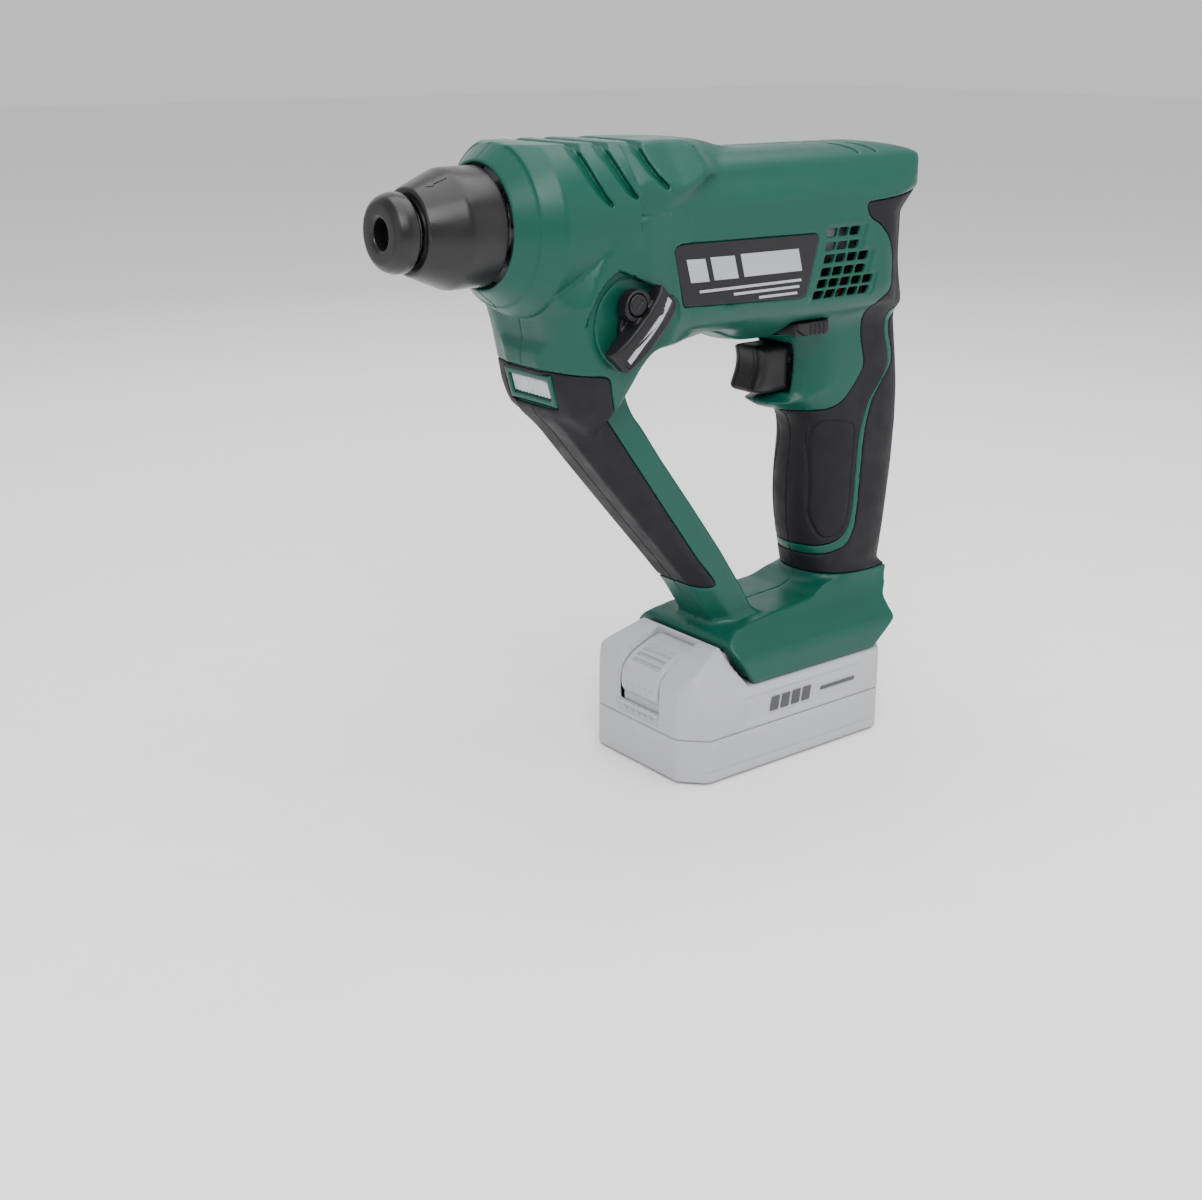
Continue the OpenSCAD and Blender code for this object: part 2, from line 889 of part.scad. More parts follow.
module motor_pinion() {
    color(steel) difference() {
        spur_gear(motor_teeth, motor_module, 0.85, 18.5, 27, motor_z, 180 / motor_teeth);
        along_x(10, 30, motor_shaft_r, motor_z);
    }
}

module motor_bearings() {
    color(steel) {
        ball_bearing(can_front_x - 2.5, can_front_x + 1.8, motor_shaft_r + 0.02, 5.5, motor_z);
        ball_bearing(can_rear_x - 3, can_rear_x + 0.5, motor_shaft_r + 0.02, 5.5, motor_z);
    }
}

module cooling_fan() {
    color("#d8d4c8") difference() {
        union() {
            along_x(7.6, 9.2, 19.5, motor_z);
            along_x(3, 9.2, 4, motor_z);
            for (turn = [0:30:359])
                translate([0, 0, motor_z]) rotate([turn, 0, 0])
                    translate([3.4, -0.6, 9]) cube([4.4, 1.2, 10.2]);
        }
        along_x(0, 12, motor_shaft_r, motor_z);
    }
}

module brush_card() {
    color("#c9b27a") difference() {
        union() {
            along_x(can_rear_x + 0.1, can_rear_x + 2.6, can_r - 1.6, motor_z);
            along_x(can_rear_x - 3.6, can_rear_x + 1, 7.5, motor_z);
            for (side = [-1, 1])
                translate([can_rear_x + 2, side * 12.4 - 5.6, motor_z - 3.4])
                    cube([8, 11.2, 6.8]);
        }
        along_x(can_rear_x - 3.1, can_rear_x + 0.55, 5.52, motor_z);
        along_x(can_rear_x - 6, can_rear_x + 4, 3, motor_z);
        translate([can_rear_x + 3.4, -20, motor_z - 2.1]) cube([5, 40, 4.2]);
    }
}

module carbon_brushes() {
    color("#26262a") for (side = [-1, 1])
        translate([can_rear_x + 3.5, side * 11.1 - 4.9, motor_z - 2]) cube([4.8, 9.8, 4]);
}

// ---------- controls ----------

module mode_knob() {
    color(black) difference() {
        union() {
            along_y(knob_floor_y + 1.2, knob_floor_y + 3.4, 13, knob_x, knob_z);
            along_y(16, knob_floor_y + 2, 5.9, knob_x, knob_z);
            translate([knob_x, 0, knob_z]) rotate([0, 45, 0])
                translate([-16.5, knob_floor_y + 3, -5.2]) cube([33, 8.6, 10.4]);
            along_y(11, 17, 1.5, knob_x, knob_z + 3);
            along_y(knob_floor_y + 3, knob_floor_y + 8, 8.2, knob_x + 2, knob_z + 7);
        }
        along_y(knob_floor_y + 3.5, far / 4, 4.2, knob_x + 4, knob_z + 9);
    }
}

module knob_button() {
    color("#3a383f") along_y(knob_floor_y + 5.2, knob_floor_y + 9, 4, knob_x + 4, knob_z + 9);
}

module trigger() {
    color(black) difference() {
        union() {
            side_slab(-8.8, 8.8) polygon([
                [-15.4, 150], [-8, 150], [-2, 150], [3, 151], [4.6, 152.4], [3.4, 157],
                [2.4, 163], [2.6, 169.8], [-15.4, 169.8]]);
            side_slab(-4, 4) translate([-18.4, 156]) square([4, 8]);
        }
        along_x(-24, -13.8, 2.8, 160);
    }
}

// Rings and struts along the trigger's travel
module trigger_spring() {
    color("#777b80") translate([0, 0, 160 - axis_z]) ring_spring(-28.4, -14.2, 2, 0.45, 6);
}

module switch_body() {
    color("#36343c") difference() {
        translate([-64, -10, 148.6]) cube([38, 20, 25.4]);
        translate([-58, -11, 152]) cube([4, 22, 3]);
        along_x(-29, -20, 3, 160);
    }
}

module direction_lever() {
    color(black) difference() {
        union() {
            translate([-20.6, -21.8, 175.4]) cube([17, 43.6, 5]);
            for (side = [-1, 1]) side_slab(side * 22.4 - 1.4, side * 22.4 + 1.4) polygon([
                [-21, 175.3], [-9, 175.3], [-4, 178], [-3, 181], [-21, 181]]);
        }
        translate([-16, -12, 174]) cube([9, 24, 2.6]);
    }
}

// One straight insulated lead between two points
module lead(a, b, r) {
    d = b - a;
    translate(a) rotate([0, acos(d[2] / norm(d)), atan2(d[1], d[0])])
        cylinder(h = norm(d), r = r);
}

module lead_run(points, r) {
    for (i = [0:len(points) - 2]) lead(points[i], points[i + 1], r);
}

module wiring() {
    color("firebrick") for (side = [-1, 1]) {
        lead_run([[-56, side * 6, 148], [-56, side * 6, 80], [-51, side * 6, 54]], 1.3);
        lead_run([[-50, side * 6, 175], [-60, side * 6, 192], [-60, side * 6, 211]], 1.3);
    }
}

module terminal_block() {
    color("#36343c") translate([-51.8, -15, 41]) cube([4, 30, 10]);
    color("gold") for (y = [-10, 0, 10])
        translate([-50, y - 0.5, 44]) cube([18, 1, 4.5]);
}

// ---------- battery ----------

// Pack outline seen from above, shrunk by inset
module pack_plan(inset) {
    offset(delta = -inset) polygon([
        [-pack_x, -25], [-48, -pack_y], [48, -pack_y], [pack_x, -25],
        [pack_x, 25], [48, pack_y], [-48, pack_y], [-pack_x, 25]]);
}

module pack_side(inset) {
    side_slab(-pack_y, pack_y) offset(delta = -inset) polygon([
        [-pack_x, 1.5], [-pack_x + 2, 0], [pack_x - 2, 0], [pack_x, 1.5],
        [pack_x, 34], [57, 41], [52, 46.5], [34, 53.4],
        [33, 50], [31, 45], [25, foot_z - 0.4],
        [-53, foot_z - 0.4], [-57, 36.4], [-pack_x, 33]]);
}

module pack_form(inset) {
    intersection() {
        linear_extrude(60) pack_plan(inset);
        pack_side(inset);
        section_slab(-60, 60, [[0, 0], [pack_y - 1.5, 0], [pack_y, 1.5], [pack_y, 30],
            [33, foot_z - 0.4], [31, 44], [24, 54], [0, 54]], inset);
    }
}

// T-shaped tower that the foot's rails hold
module pack_tower(grow) {
    translate([-46, -neck_half_w - grow, foot_z - 2])
        cube([80 - grow, 2 * (neck_half_w + grow), 10]);
    translate([-46, -tower_half_w, 44.4]) cube([80, 2 * tower_half_w, tower_top_z - 44.4]);
}

module latch_window() {
    translate([latch_x - 9.4, -12.6, 25]) cube([30, 25.2, 40]);
}

module battery_case_lower() {
    color("#bebebe") difference() {
        intersection() {
            pack_form(0);
            cube([200, 200, 2 * pack_seam_z], center = true);
        }
        intersection() {
            pack_form(2);
            translate([-100, -100, 2]) cube([200, 200, 60]);
        }
    }
}

module battery_case_upper() {
    color("#bebebe") difference() {
        union() {
            intersection() {
                pack_form(0);
                translate([-100, -100, pack_seam_z]) cube([200, 200, 60]);
            }
            pack_tower(0);
        }
        intersection() {
            pack_form(2);
            translate([-100, -100, 10]) cube([200, 200, foot_z - 12.4]);
        }
        latch_window();
        for (y = [-10, 0, 10]) translate([-60, y - 1.6, 42]) cube([32, 3.2, 20]);
    }
}

module battery_cells() {
    pitch = (pack_len - 18) / cell_count;
    color("#4a6fa5") for (i = [0:cell_count - 1])
        along_y(-32.4, 32.4, cell_r, (i - (cell_count - 1) / 2) * pitch, 2.3 + cell_r);
}

module battery_contacts() {
    color("gold") for (y = [-10, 0, 10]) for (side = [-1, 1])
        translate([-36, y + side * 1.05 - 0.4, 42]) cube([8, 0.8, 7]);
}

module battery_latch() {
    color("#b4b4b4") difference() {
        union() {
            side_slab(-12, 12) polygon([
                [latch_x - 8.8, 27], [52, 27], [56.2, 36], [55.4, 41],
                [50.5, 45.5], [latch_x - 8.8, 50.8]]);
            translate([latch_x - 8.8, -8, 24]) cube([8, 16, 6]);
        }
        for (i = [0:3])
            translate([46 + 2.6 * i, -9, 47.6 - 1.6 * i]) rotate([0, 45, 0])
                cube([1.2, 18, 1.2]);
        translate([latch_x, 0, 22]) cylinder(h = 10, r = 3.4);
    }
}

module latch_spring() {
    color("#777b80") translate([latch_x, 0, 23]) rotate([0, -90, 0])
        translate([0, 0, -axis_z]) ring_spring(0, 8.4, 2.4, 0.45, 4);
}

housing_left();
housing_right();
grip_rubber_left();
grip_rubber_right();
strut_rubber_left();
strut_rubber_right();
label_plate_left();
label_plate_right();
lamp_bezel();
lamp_lens();
housing_screws();
gear_case();
bearing_plate();
front_bearing();
rear_bearing();
nose_seal();
spindle();
spindle_gear();
clutch_spring();
retaining_ring();
dust_cap();
chuck_sleeve();
lock_ring();
sleeve_spring();
locking_ball_upper();
locking_ball_lower();
piston();
striker();
beat_piece();
intermediate_shaft();
intermediate_gear();
wobble_hub();
wobble_ring();
dog_clutch();
selector_fork();
intermediate_bearings();
motor_can();
motor_magnets();
armature();
motor_shaft();
motor_pinion();
motor_bearings();
cooling_fan();
brush_card();
carbon_brushes();
mode_knob();
knob_button();
trigger();
trigger_spring();
switch_body();
direction_lever();
wiring();
terminal_block();
battery_case_lower();
battery_case_upper();
battery_cells();
battery_contacts();
battery_latch();
latch_spring();
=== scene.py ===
import json
import math

import bpy
import numpy as np
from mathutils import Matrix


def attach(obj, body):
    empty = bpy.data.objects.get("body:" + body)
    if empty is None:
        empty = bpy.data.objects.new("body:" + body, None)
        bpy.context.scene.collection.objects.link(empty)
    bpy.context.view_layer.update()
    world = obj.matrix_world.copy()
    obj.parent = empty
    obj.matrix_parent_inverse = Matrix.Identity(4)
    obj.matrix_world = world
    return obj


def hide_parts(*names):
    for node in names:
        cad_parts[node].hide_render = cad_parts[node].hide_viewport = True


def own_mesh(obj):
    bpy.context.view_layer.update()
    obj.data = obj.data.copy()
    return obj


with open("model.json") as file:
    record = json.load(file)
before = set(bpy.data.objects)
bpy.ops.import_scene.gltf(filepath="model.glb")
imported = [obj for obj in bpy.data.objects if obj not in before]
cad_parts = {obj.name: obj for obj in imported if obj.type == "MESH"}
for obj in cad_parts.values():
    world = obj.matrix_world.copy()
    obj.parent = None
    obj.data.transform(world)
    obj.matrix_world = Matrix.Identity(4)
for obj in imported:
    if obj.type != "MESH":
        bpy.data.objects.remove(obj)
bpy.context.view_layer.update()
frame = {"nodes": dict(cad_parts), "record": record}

import openvdb as vdb
from mathutils import Vector

FAR = 400.0             # a distance outside everything
AXIS_Z = 226.0          # height of the drilling axis
WALL = 2.4              # of the housing
RUBBER = 1.35           # thickness of the overmould
BODY_HALF = 30          # half the body's width beside the label
NOSE_FRONT = 124.6
COLLAR_FRONT = 131.4
COLLAR_BORE = 21.6      # the sleeve slides in here
CONE_REAR, CONE_FRONT = (146.5, 20.9), (159.9, 15.2)      # the sleeve's cone, as (x, radius)
LAMP_X, LAMP_Z, LAMP_TILT = 109.8, 166.5, math.radians(16)
KNOB_X, KNOB_Z = 85, 190
BUTTON_X, BUTTON_Z = 89, 199
TRIGGER_Z = 160
LATCH_X = 44
PACK_X, PACK_Y = 58.4, 35.7     # half sizes of the battery
SEAM_Z = 19.2                   # where the battery's two shells meet


# ---------------------------------------------------------------- fields

class Grid:
    """Axes of a sampling grid; low and high are its corners, step its pitch."""

    def __init__(self, low, high, step):
        self.low, self.step = np.array(low, float), step
        count = np.ceil((np.array(high) - self.low) / step).astype(int) + 1
        x, y, z = [
            (self.low[i] + step * np.arange(count[i])).astype(np.float32) for i in range(3)
        ]
        self.x, self.y, self.z = x[:, None, None], y[None, :, None], z[None, None, :]
        self.ay = np.abs(self.y)


def outline(points, a, b):
    """Signed distance to a closed outline in the plane of a and b, negative inside."""
    nearest = np.float32(1e12)
    inside = np.zeros(np.broadcast(a, b).shape, bool)
    for (a0, b0), (a1, b1) in zip(points, points[1:] + points[:1]):
        ea, eb = a1 - a0, b1 - b0
        t = np.clip(((a - a0) * ea + (b - b0) * eb) / (ea * ea + eb * eb + 1e-9), 0, 1)
        nearest = np.minimum(nearest, (a - a0 - ea * t) ** 2 + (b - b0 - eb * t) ** 2)
        if abs(eb) > 1e-9:
            inside ^= ((b0 > b) != (b1 > b)) & (a < ea * (b - b0) / eb + a0)
    distance = np.sqrt(nearest)
    return np.where(inside, -distance, distance).astype(np.float32)


def soft(points, reach=4.0, steps=3):
    """The outline with each corner turned into a curve that starts reach before it."""
    p = np.array(points, float)
    to_last, to_next = np.roll(p, 1, 0) - p, np.roll(p, -1, 0) - p
    done = []
    for corner, a, b in zip(p, to_last, to_next):
        la, lb = np.hypot(*a), np.hypot(*b)
        start, end = corner + a * min(reach / la, 0.49), corner + b * min(reach / lb, 0.49)
        for t in np.linspace(0, 1, steps + 1):
            done.append(tuple((1 - t) ** 2 * start + 2 * t * (1 - t) * corner + t * t * end))
    return done


def mirrored(points):
    """A half section given from y = 0 to y = 0, closed with its mirror image."""
    return points + [(-a, b) for a, b in reversed(points)]


def cut_both(a, b, k=0.0):
    """Where both hold: the intersection, its edge rounded over k."""
    most = np.maximum(a, b)
    if k:
        h = np.maximum(k - np.abs(a - b), 0) / k
        most = most + h * h * k / 4
    return most


def join(a, b, k=0.0):
    return -cut_both(-a, -b, k)


def take(a, b, k=0.0):
    return cut_both(a, -b, k)


def sink(form, base, region, depth, k=0.0):
    """Lowers the surface of base by depth inside region."""
    return cut_both(form, -cut_both(region, -(base + depth)), k)


def block(a, b, c, half, r=0.0):
    """Distance to a box with half sizes about 0, its edges rounded by r."""
    q = [np.abs(v) - h + r for v, h in zip((a, b, c), half)]
    out = np.sqrt(sum(np.maximum(v, 0) ** 2 for v in q))
    return out + np.minimum(np.maximum(np.maximum(q[0], q[1]), q[2]), 0) - r


def sample(grid, field, points):
    """Trilinear values of the field at points."""
    at = np.clip((points - grid.low) / grid.step, 0, np.array(field.shape) - 1.001)
    i = at.astype(int)
    f = at - i
    total = 0
    for corner in np.ndindex(2, 2, 2):
        share = np.prod(np.where(corner, f, 1 - f), axis=1)
        total = total + share * field[tuple((i + corner).T)]
    return total


# ---------------------------------------------------------------- meshes

def link(name, mesh):
    piece = bpy.data.objects.new(name, mesh)
    bpy.context.scene.collection.objects.link(piece)
    return piece


def mesh_of(name, points, faces, normals=None):
    mesh = bpy.data.meshes.new(name)
    mesh.from_pydata([tuple(p) for p in points.tolist()], [], faces)
    mesh.polygons.foreach_set("use_smooth", [True] * len(mesh.polygons))
    if normals is not None:
        mesh.normals_split_custom_set_from_vertices([tuple(n) for n in normals.tolist()])
    return link(name, mesh)


def surface(grid, field, coarse=0.0):
    """Points, faces and normals of the field's zero surface, in millimetres."""
    band = 3 * grid.step
    volume = vdb.FloatGrid(band)
    volume.copyFromArray(np.clip(np.broadcast_to(field, np.broadcast_shapes(
        field.shape, grid.x.shape, grid.y.shape, grid.z.shape)), -band, band))
    points, triangles, quads = volume.convertToPolygons(isovalue=0, adaptivity=coarse)
    points = points * grid.step + grid.low
    normals = np.zeros_like(points)
    reach = 0.75 * grid.step
    for axis in range(3):
        shift = np.zeros(3)
        shift[axis] = reach
        normals[:, axis] = sample(grid, field, points + shift) - sample(grid, field, points - shift)
    normals /= np.linalg.norm(normals, axis=1)[:, None] + 1e-9
    faces = []
    for group in (triangles, quads):
        if len(group):
            p = points[group]
            facing = np.einsum("ij,ij->i", np.cross(p[:, 1] - p[:, 0], p[:, 2] - p[:, 0]),
                               normals[group[:, 0]])
            faces += (group[:, ::-1] if np.sum(facing) < 0 else group).tolist()
    return points, faces, normals


def piece(name, grid, field, body, slot, material, stands_for=(), coarse=0.0, flip=False):
    """A mesh of the field that rides on a body; flip mirrors it to the other side."""
    points, faces, normals = surface(grid, field, coarse)
    if flip:
        points, normals = points * (1, -1, 1), normals * (1, -1, 1)
        faces = [face[::-1] for face in faces]
    made = mesh_of(name, points / 1000, faces, normals)
    return finish_piece(made, body, material, stands_for)


def finish_piece(made, body, material, stands_for=()):
    made.data.materials.append(material)
    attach(made, body)
    if stands_for:
        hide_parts(*stands_for)
    return made


def rounded_profile(points, radii, steps=4):
    """The closed profile with each corner turned into an arc of its radius."""
    done = []
    count = len(points)
    for i, radius in enumerate(radii):
        p = Vector(points[i])
        before = (Vector(points[i - 1]) - p)
        after = (Vector(points[(i + 1) % count]) - p)
        if radius <= 0:
            done.append(tuple(p))
            continue
        reach = min(radius, before.length / 2.1, after.length / 2.1)
        a, b = p + before.normalized() * reach, p + after.normalized() * reach
        for s in range(steps + 1):
            t = s / steps
            done.append(tuple((1 - t) ** 2 * a + 2 * t * (1 - t) * p + t * t * b))
    return done


def lathe(name, profile, segments=160, z=AXIS_Z):
    """A closed profile of (x, radius) turned about an axis along X."""
    p = np.array(profile, float)
    turn = np.linspace(0, 2 * math.pi, segments, endpoint=False)
    x = np.repeat(p[:, 0], segments)
    y = np.outer(p[:, 1], np.sin(turn)).ravel()
    up = np.outer(p[:, 1], np.cos(turn)).ravel() + z
    points = np.stack([x, y, up], 1) / 1000
    faces = []
    rings = len(p)
    for i in range(rings):
        j = (i + 1) % rings
        for s in range(segments):
            t = (s + 1) % segments
            faces.append((i * segments + s, j * segments + s, j * segments + t, i * segments + t))
    made = mesh_of(name, points, faces)
    made.data.update()
    sharpen(made)
    return made


def sharpen(made, angle=32):
    """Marks the edges between faces that meet at more than angle degrees."""
    bpy.context.view_layer.objects.active = made
    for o in bpy.context.selected_objects:
        o.select_set(False)
    made.select_set(True)
    bpy.ops.object.mode_set(mode="EDIT")
    bpy.ops.mesh.select_all(action="SELECT")
    bpy.ops.mesh.normals_make_consistent(inside=False)
    bpy.ops.object.mode_set(mode="OBJECT")
    bpy.ops.object.shade_smooth_by_angle(angle=math.radians(angle), keep_sharp_edges=True)


def plate(name, shape, y0, y1, place):
    """A flat shape of (x, z) points given thickness from y0 to y1; place maps points."""
    count = len(shape)
    points = [place(a, y0, b) for a, b in shape] + [place(a, y1, b) for a, b in shape]
    faces = [tuple(range(count)), tuple(range(2 * count - 1, count - 1, -1))]
    faces += [(i, i + count, (i + 1) % count + count, (i + 1) % count) for i in range(count)]
    made = mesh_of(name, np.array(points, float) / 1000, faces)
    sharpen(made)
    return made


def bundle(name, parts):
    """Joins several meshes into one piece."""
    for o in bpy.context.selected_objects:
        o.select_set(False)
    for part in parts:
        part.select_set(True)
    bpy.context.view_layer.objects.active = parts[0]
    bpy.ops.object.join()
    parts[0].name = parts[0].data.name = name
    return parts[0]


# ---------------------------------------------------------------- materials

def finish_of(name, color, roughness, metallic=0.0, grain=900.0, depth=0.06, mottle=0.06,
              rough_spread=0.08, coat=0.0, stretch=(1, 1, 1), edge_highlight=0.0, shine=0.5):
    """Moulded plastic, rubber or metal: surface grain depth mm deep, uneven tone and gloss, and a painted
    highlight, a lighter colour on convex edges.
    """
    material = bpy.data.materials.new(name)
    material.use_nodes = True
    nodes, links = material.node_tree.nodes, material.node_tree.links
    shader = nodes["Principled BSDF"]
    shader.inputs["Metallic"].default_value = metallic
    shader.inputs["Coat Weight"].default_value = coat
    shader.inputs["Coat Roughness"].default_value = 0.25
    shader.inputs["Specular IOR Level"].default_value = shine
    coords = nodes.new("ShaderNodeTexCoord")
    scaled = nodes.new("ShaderNodeMapping")
    scaled.inputs["Scale"].default_value = stretch
    links.new(coords.outputs["Object"], scaled.inputs["Vector"])

    def noise(scale, detail, roughness_of=0.5):
        made = nodes.new("ShaderNodeTexNoise")
        made.inputs["Scale"].default_value = scale
        made.inputs["Detail"].default_value = detail
        made.inputs["Roughness"].default_value = roughness_of
        links.new(scaled.outputs["Vector"], made.inputs["Vector"])
        return made.outputs["Fac"]

    def spread(source, low, high):
        made = nodes.new("ShaderNodeMapRange")
        made.inputs["From Min"].default_value = 0.3
        made.inputs["From Max"].default_value = 0.7
        made.inputs["To Min"].default_value = low
        made.inputs["To Max"].default_value = high
        links.new(source, made.inputs["Value"])
        return made.outputs["Result"]

    base = nodes.new("ShaderNodeHueSaturation")
    base.inputs["Color"].default_value = (*color, 1)
    links.new(spread(noise(38, 3), 1 - mottle, 1 + mottle), base.inputs["Value"])
    tone = base.outputs["Color"]
    # Painted highlight: convex edges, found by pointiness, are mixed towards a lighter copy of the colour.
    if edge_highlight:
        geometry = nodes.new("ShaderNodeNewGeometry")
        edge = nodes.new("ShaderNodeMapRange")
        edge.inputs["From Min"].default_value = 0.52
        edge.inputs["From Max"].default_value = 0.62
        links.new(geometry.outputs["Pointiness"], edge.inputs["Value"])
        mix = nodes.new("ShaderNodeMix")
        mix.data_type = "RGBA"
        strength = nodes.new("ShaderNodeMath")
        strength.operation = "MULTIPLY"
        strength.inputs[1].default_value = edge_highlight
        links.new(edge.outputs["Result"], strength.inputs[0])
        links.new(strength.outputs["Value"], mix.inputs["Factor"])
        links.new(tone, mix.inputs["A"])
        # The lighter colour of the painted edge highlight.
        mix.inputs["B"].default_value = (*[min(1, c * 1.9 + 0.03) for c in color], 1)
        tone = mix.outputs["Result"]
    links.new(tone, shader.inputs["Base Color"])
    links.new(spread(noise(120, 4), roughness - rough_spread, roughness + rough_spread),
              shader.inputs["Roughness"])
    bump = nodes.new("ShaderNodeBump")
    bump.inputs["Strength"].default_value = 0.35
    bump.inputs["Distance"].default_value = depth / 1000
    links.new(noise(grain, 2, 0.6), bump.inputs["Height"])
    links.new(bump.outputs["Normal"], shader.inputs["Normal"])
    return material


def linear(*display):
    """Colour from 0-255 display values."""
    return tuple(((v / 255 + 0.055) / 1.055) ** 2.4 if v > 10 else v / 255 / 12.92 for v in display)


METAL = dict(metallic=1.0, grain=500, depth=0.02, mottle=0.05)
MATERIALS = {
    "green_abs": finish_of("green_abs", linear(0, 70, 57), 0.38, grain=1500, depth=0.05,
                           mottle=0.03, rough_spread=0.05, edge_highlight=0.2, shine=0.3),
    "soft_rubber": finish_of("soft_rubber", linear(23, 21, 25), 0.6, grain=1900, depth=0.09,
                             mottle=0.08, edge_highlight=0.2, shine=0.22),
    "label_plastic": finish_of("label_plastic", linear(17, 15, 19), 0.34, grain=1200, depth=0.02,
                               shine=0.3),
    "lens_clear": None,
    "screw_steel": finish_of("screw_steel", (0.34, 0.34, 0.35), 0.38, **METAL),
    "case_metal": finish_of("case_metal", (0.58, 0.59, 0.6), 0.5, metallic=1.0, grain=260,
                            depth=0.08, mottle=0.08),
    "bearing_steel": finish_of("bearing_steel", (0.66, 0.66, 0.67), 0.22, **METAL),
    "bronze": finish_of("bronze", (0.5, 0.33, 0.15), 0.4, **METAL),
    "seal_rubber": finish_of("seal_rubber", (0.018, 0.017, 0.018), 0.55, depth=0.08),
    "hardened_steel": finish_of("hardened_steel", (0.42, 0.43, 0.45), 0.3, stretch=(6, 1, 1), **METAL),
    "gear_steel": finish_of("gear_steel", (0.36, 0.36, 0.38), 0.34, **METAL),
    "spring_steel": finish_of("spring_steel", (0.3, 0.3, 0.32), 0.3, **METAL),
    "piston_alloy": finish_of("piston_alloy", (0.6, 0.62, 0.65), 0.36, **METAL),
    "sleeve_plastic": finish_of("sleeve_plastic", linear(17, 16, 18), 0.32, grain=1400, depth=0.04,
                                rough_spread=0.06, edge_highlight=0.3, shine=0.4),
    "motor_steel": finish_of("motor_steel", (0.4, 0.41, 0.43), 0.45, stretch=(1, 1, 4), **METAL),
    "ferrite": finish_of("ferrite", (0.045, 0.045, 0.05), 0.7, depth=0.1),
    "armature_copper": finish_of("armature_copper", (0.62, 0.27, 0.12), 0.35, stretch=(8, 1, 1), **METAL),
    "fan_plastic": finish_of("fan_plastic", (0.02, 0.02, 0.022), 0.4),
    "card_plastic": finish_of("card_plastic", (0.28, 0.16, 0.05), 0.5),
    "carbon": finish_of("carbon", (0.03, 0.03, 0.032), 0.6, mottle=0.15),
    "control_plastic": finish_of("control_plastic", linear(18, 17, 20), 0.42, grain=1600, depth=0.05,
                                 edge_highlight=0.3, shine=0.3),
    "switch_plastic": finish_of("switch_plastic", (0.03, 0.03, 0.033), 0.45),
    "wire_insulation": finish_of("wire_insulation", (0.32, 0.02, 0.015), 0.4),
    "battery_shell": finish_of("battery_shell", linear(168, 169, 172), 0.46, grain=1500, depth=0.05,
                               mottle=0.025, rough_spread=0.05, edge_highlight=0.15),
    "cell_wrap": finish_of("cell_wrap", (0.05, 0.2, 0.42), 0.3, coat=0.2),
    "contact_brass": finish_of("contact_brass", (0.68, 0.48, 0.2), 0.3, **METAL),
}


def clear_lens():
    """Clear ribbed plastic: light passes, and fine ribs bend it."""
    material = bpy.data.materials.new("lens_clear")
    material.use_nodes = True
    nodes, links = material.node_tree.nodes, material.node_tree.links
    shader = nodes["Principled BSDF"]
    shader.inputs["Base Color"].default_value = (0.82, 0.86, 0.87, 1)
    shader.inputs["Transmission Weight"].default_value = 0.55
    shader.inputs["IOR"].default_value = 1.49
    coords = nodes.new("ShaderNodeTexCoord")
    noise = nodes.new("ShaderNodeTexNoise")
    noise.inputs["Scale"].default_value = 300
    gloss = nodes.new("ShaderNodeMapRange")
    gloss.inputs["To Min"].default_value = 0.08
    gloss.inputs["To Max"].default_value = 0.22
    bump = nodes.new("ShaderNodeBump")
    bump.inputs["Strength"].default_value = 0.2
    bump.inputs["Distance"].default_value = 0.0001
    links.new(coords.outputs["Object"], noise.inputs["Vector"])
    links.new(noise.outputs["Fac"], gloss.inputs["Value"])
    links.new(gloss.outputs["Result"], shader.inputs["Roughness"])
    links.new(noise.outputs["Fac"], bump.inputs["Height"])
    links.new(bump.outputs["Normal"], shader.inputs["Normal"])
    return material


MATERIALS["lens_clear"] = clear_lens()
PRINT = finish_of("label_print", linear(160, 162, 166), 0.45, grain=1600, depth=0.02)
DARK_PRINT = finish_of("dark_print", linear(60, 60, 64), 0.45, grain=1600, depth=0.02)

slot_of = {part["node"]: part["material_slot"] for part in frame["record"]["subparts"]}
for node, shown in frame["nodes"].items():
    shown.data.materials.clear()
    shown.data.materials.append(MATERIALS[slot_of[node]])


# ---------------------------------------------------------------- housing

BODY_SIDE = [
    (-50, 184), (-70.6, 185), (-70.6, 202), (-71.6, 210.6), (-73.6, 216.7), (-76.6, 225),
    (-80, 231), (-81.2, 235), (-80.4, 237.8), (-76.6, 242), (-69, 246), (-56, 248), (-20, 248.4),
    (20, 248.6), (28, 249.6), (35, 251.9), (44, 253.2), (56, 253.8), (90, 254.2), (112, 254.1),
    (116.5, 253.8),
    (116.5, 204), (115, 196), (113, 186), (111.4, 176), (110, 166), (107, 157), (92, 148),
    (84, 165), (80, 174), (74, 180.4), (20, 180.4)]

MOTOR_SECTION = mirrored([
    (0, 180.4), (20, 181.6), (26.8, 186), (30, 193), (30, 228.4), (29.2, 230.4), (26.8, 234.2),
    (23.2, 239.2), (22.8, 240.6), (20.4, 243.8), (15.4, 247.2), (8, 250), (0, 251)])

GEAR_SECTION = mirrored([
    (0, 146), (14, 146.5), (20, 152), (25, 160), (28.5, 170), (31, 182), (32.9, 196), (33.2, 228),
    (31.3, 230.6), (31.7, 235), (30.8, 240.5), (28.6, 245.8), (24.6, 250.6), (18.6, 254.4), (10, 257),
    (0, 258)])

SIDE_PANEL = [
    (-200, 229.7), (60, 229.6), (69, 229.4), (77, 228.4), (85.5, 225.6), (93.5, 221.4), (98.6, 216.8),
    (102.2, 211), (105, 204), (107, 196), (108.4, 187), (109.4, 176), (108, 160), (60, 120), (-200, 120)]

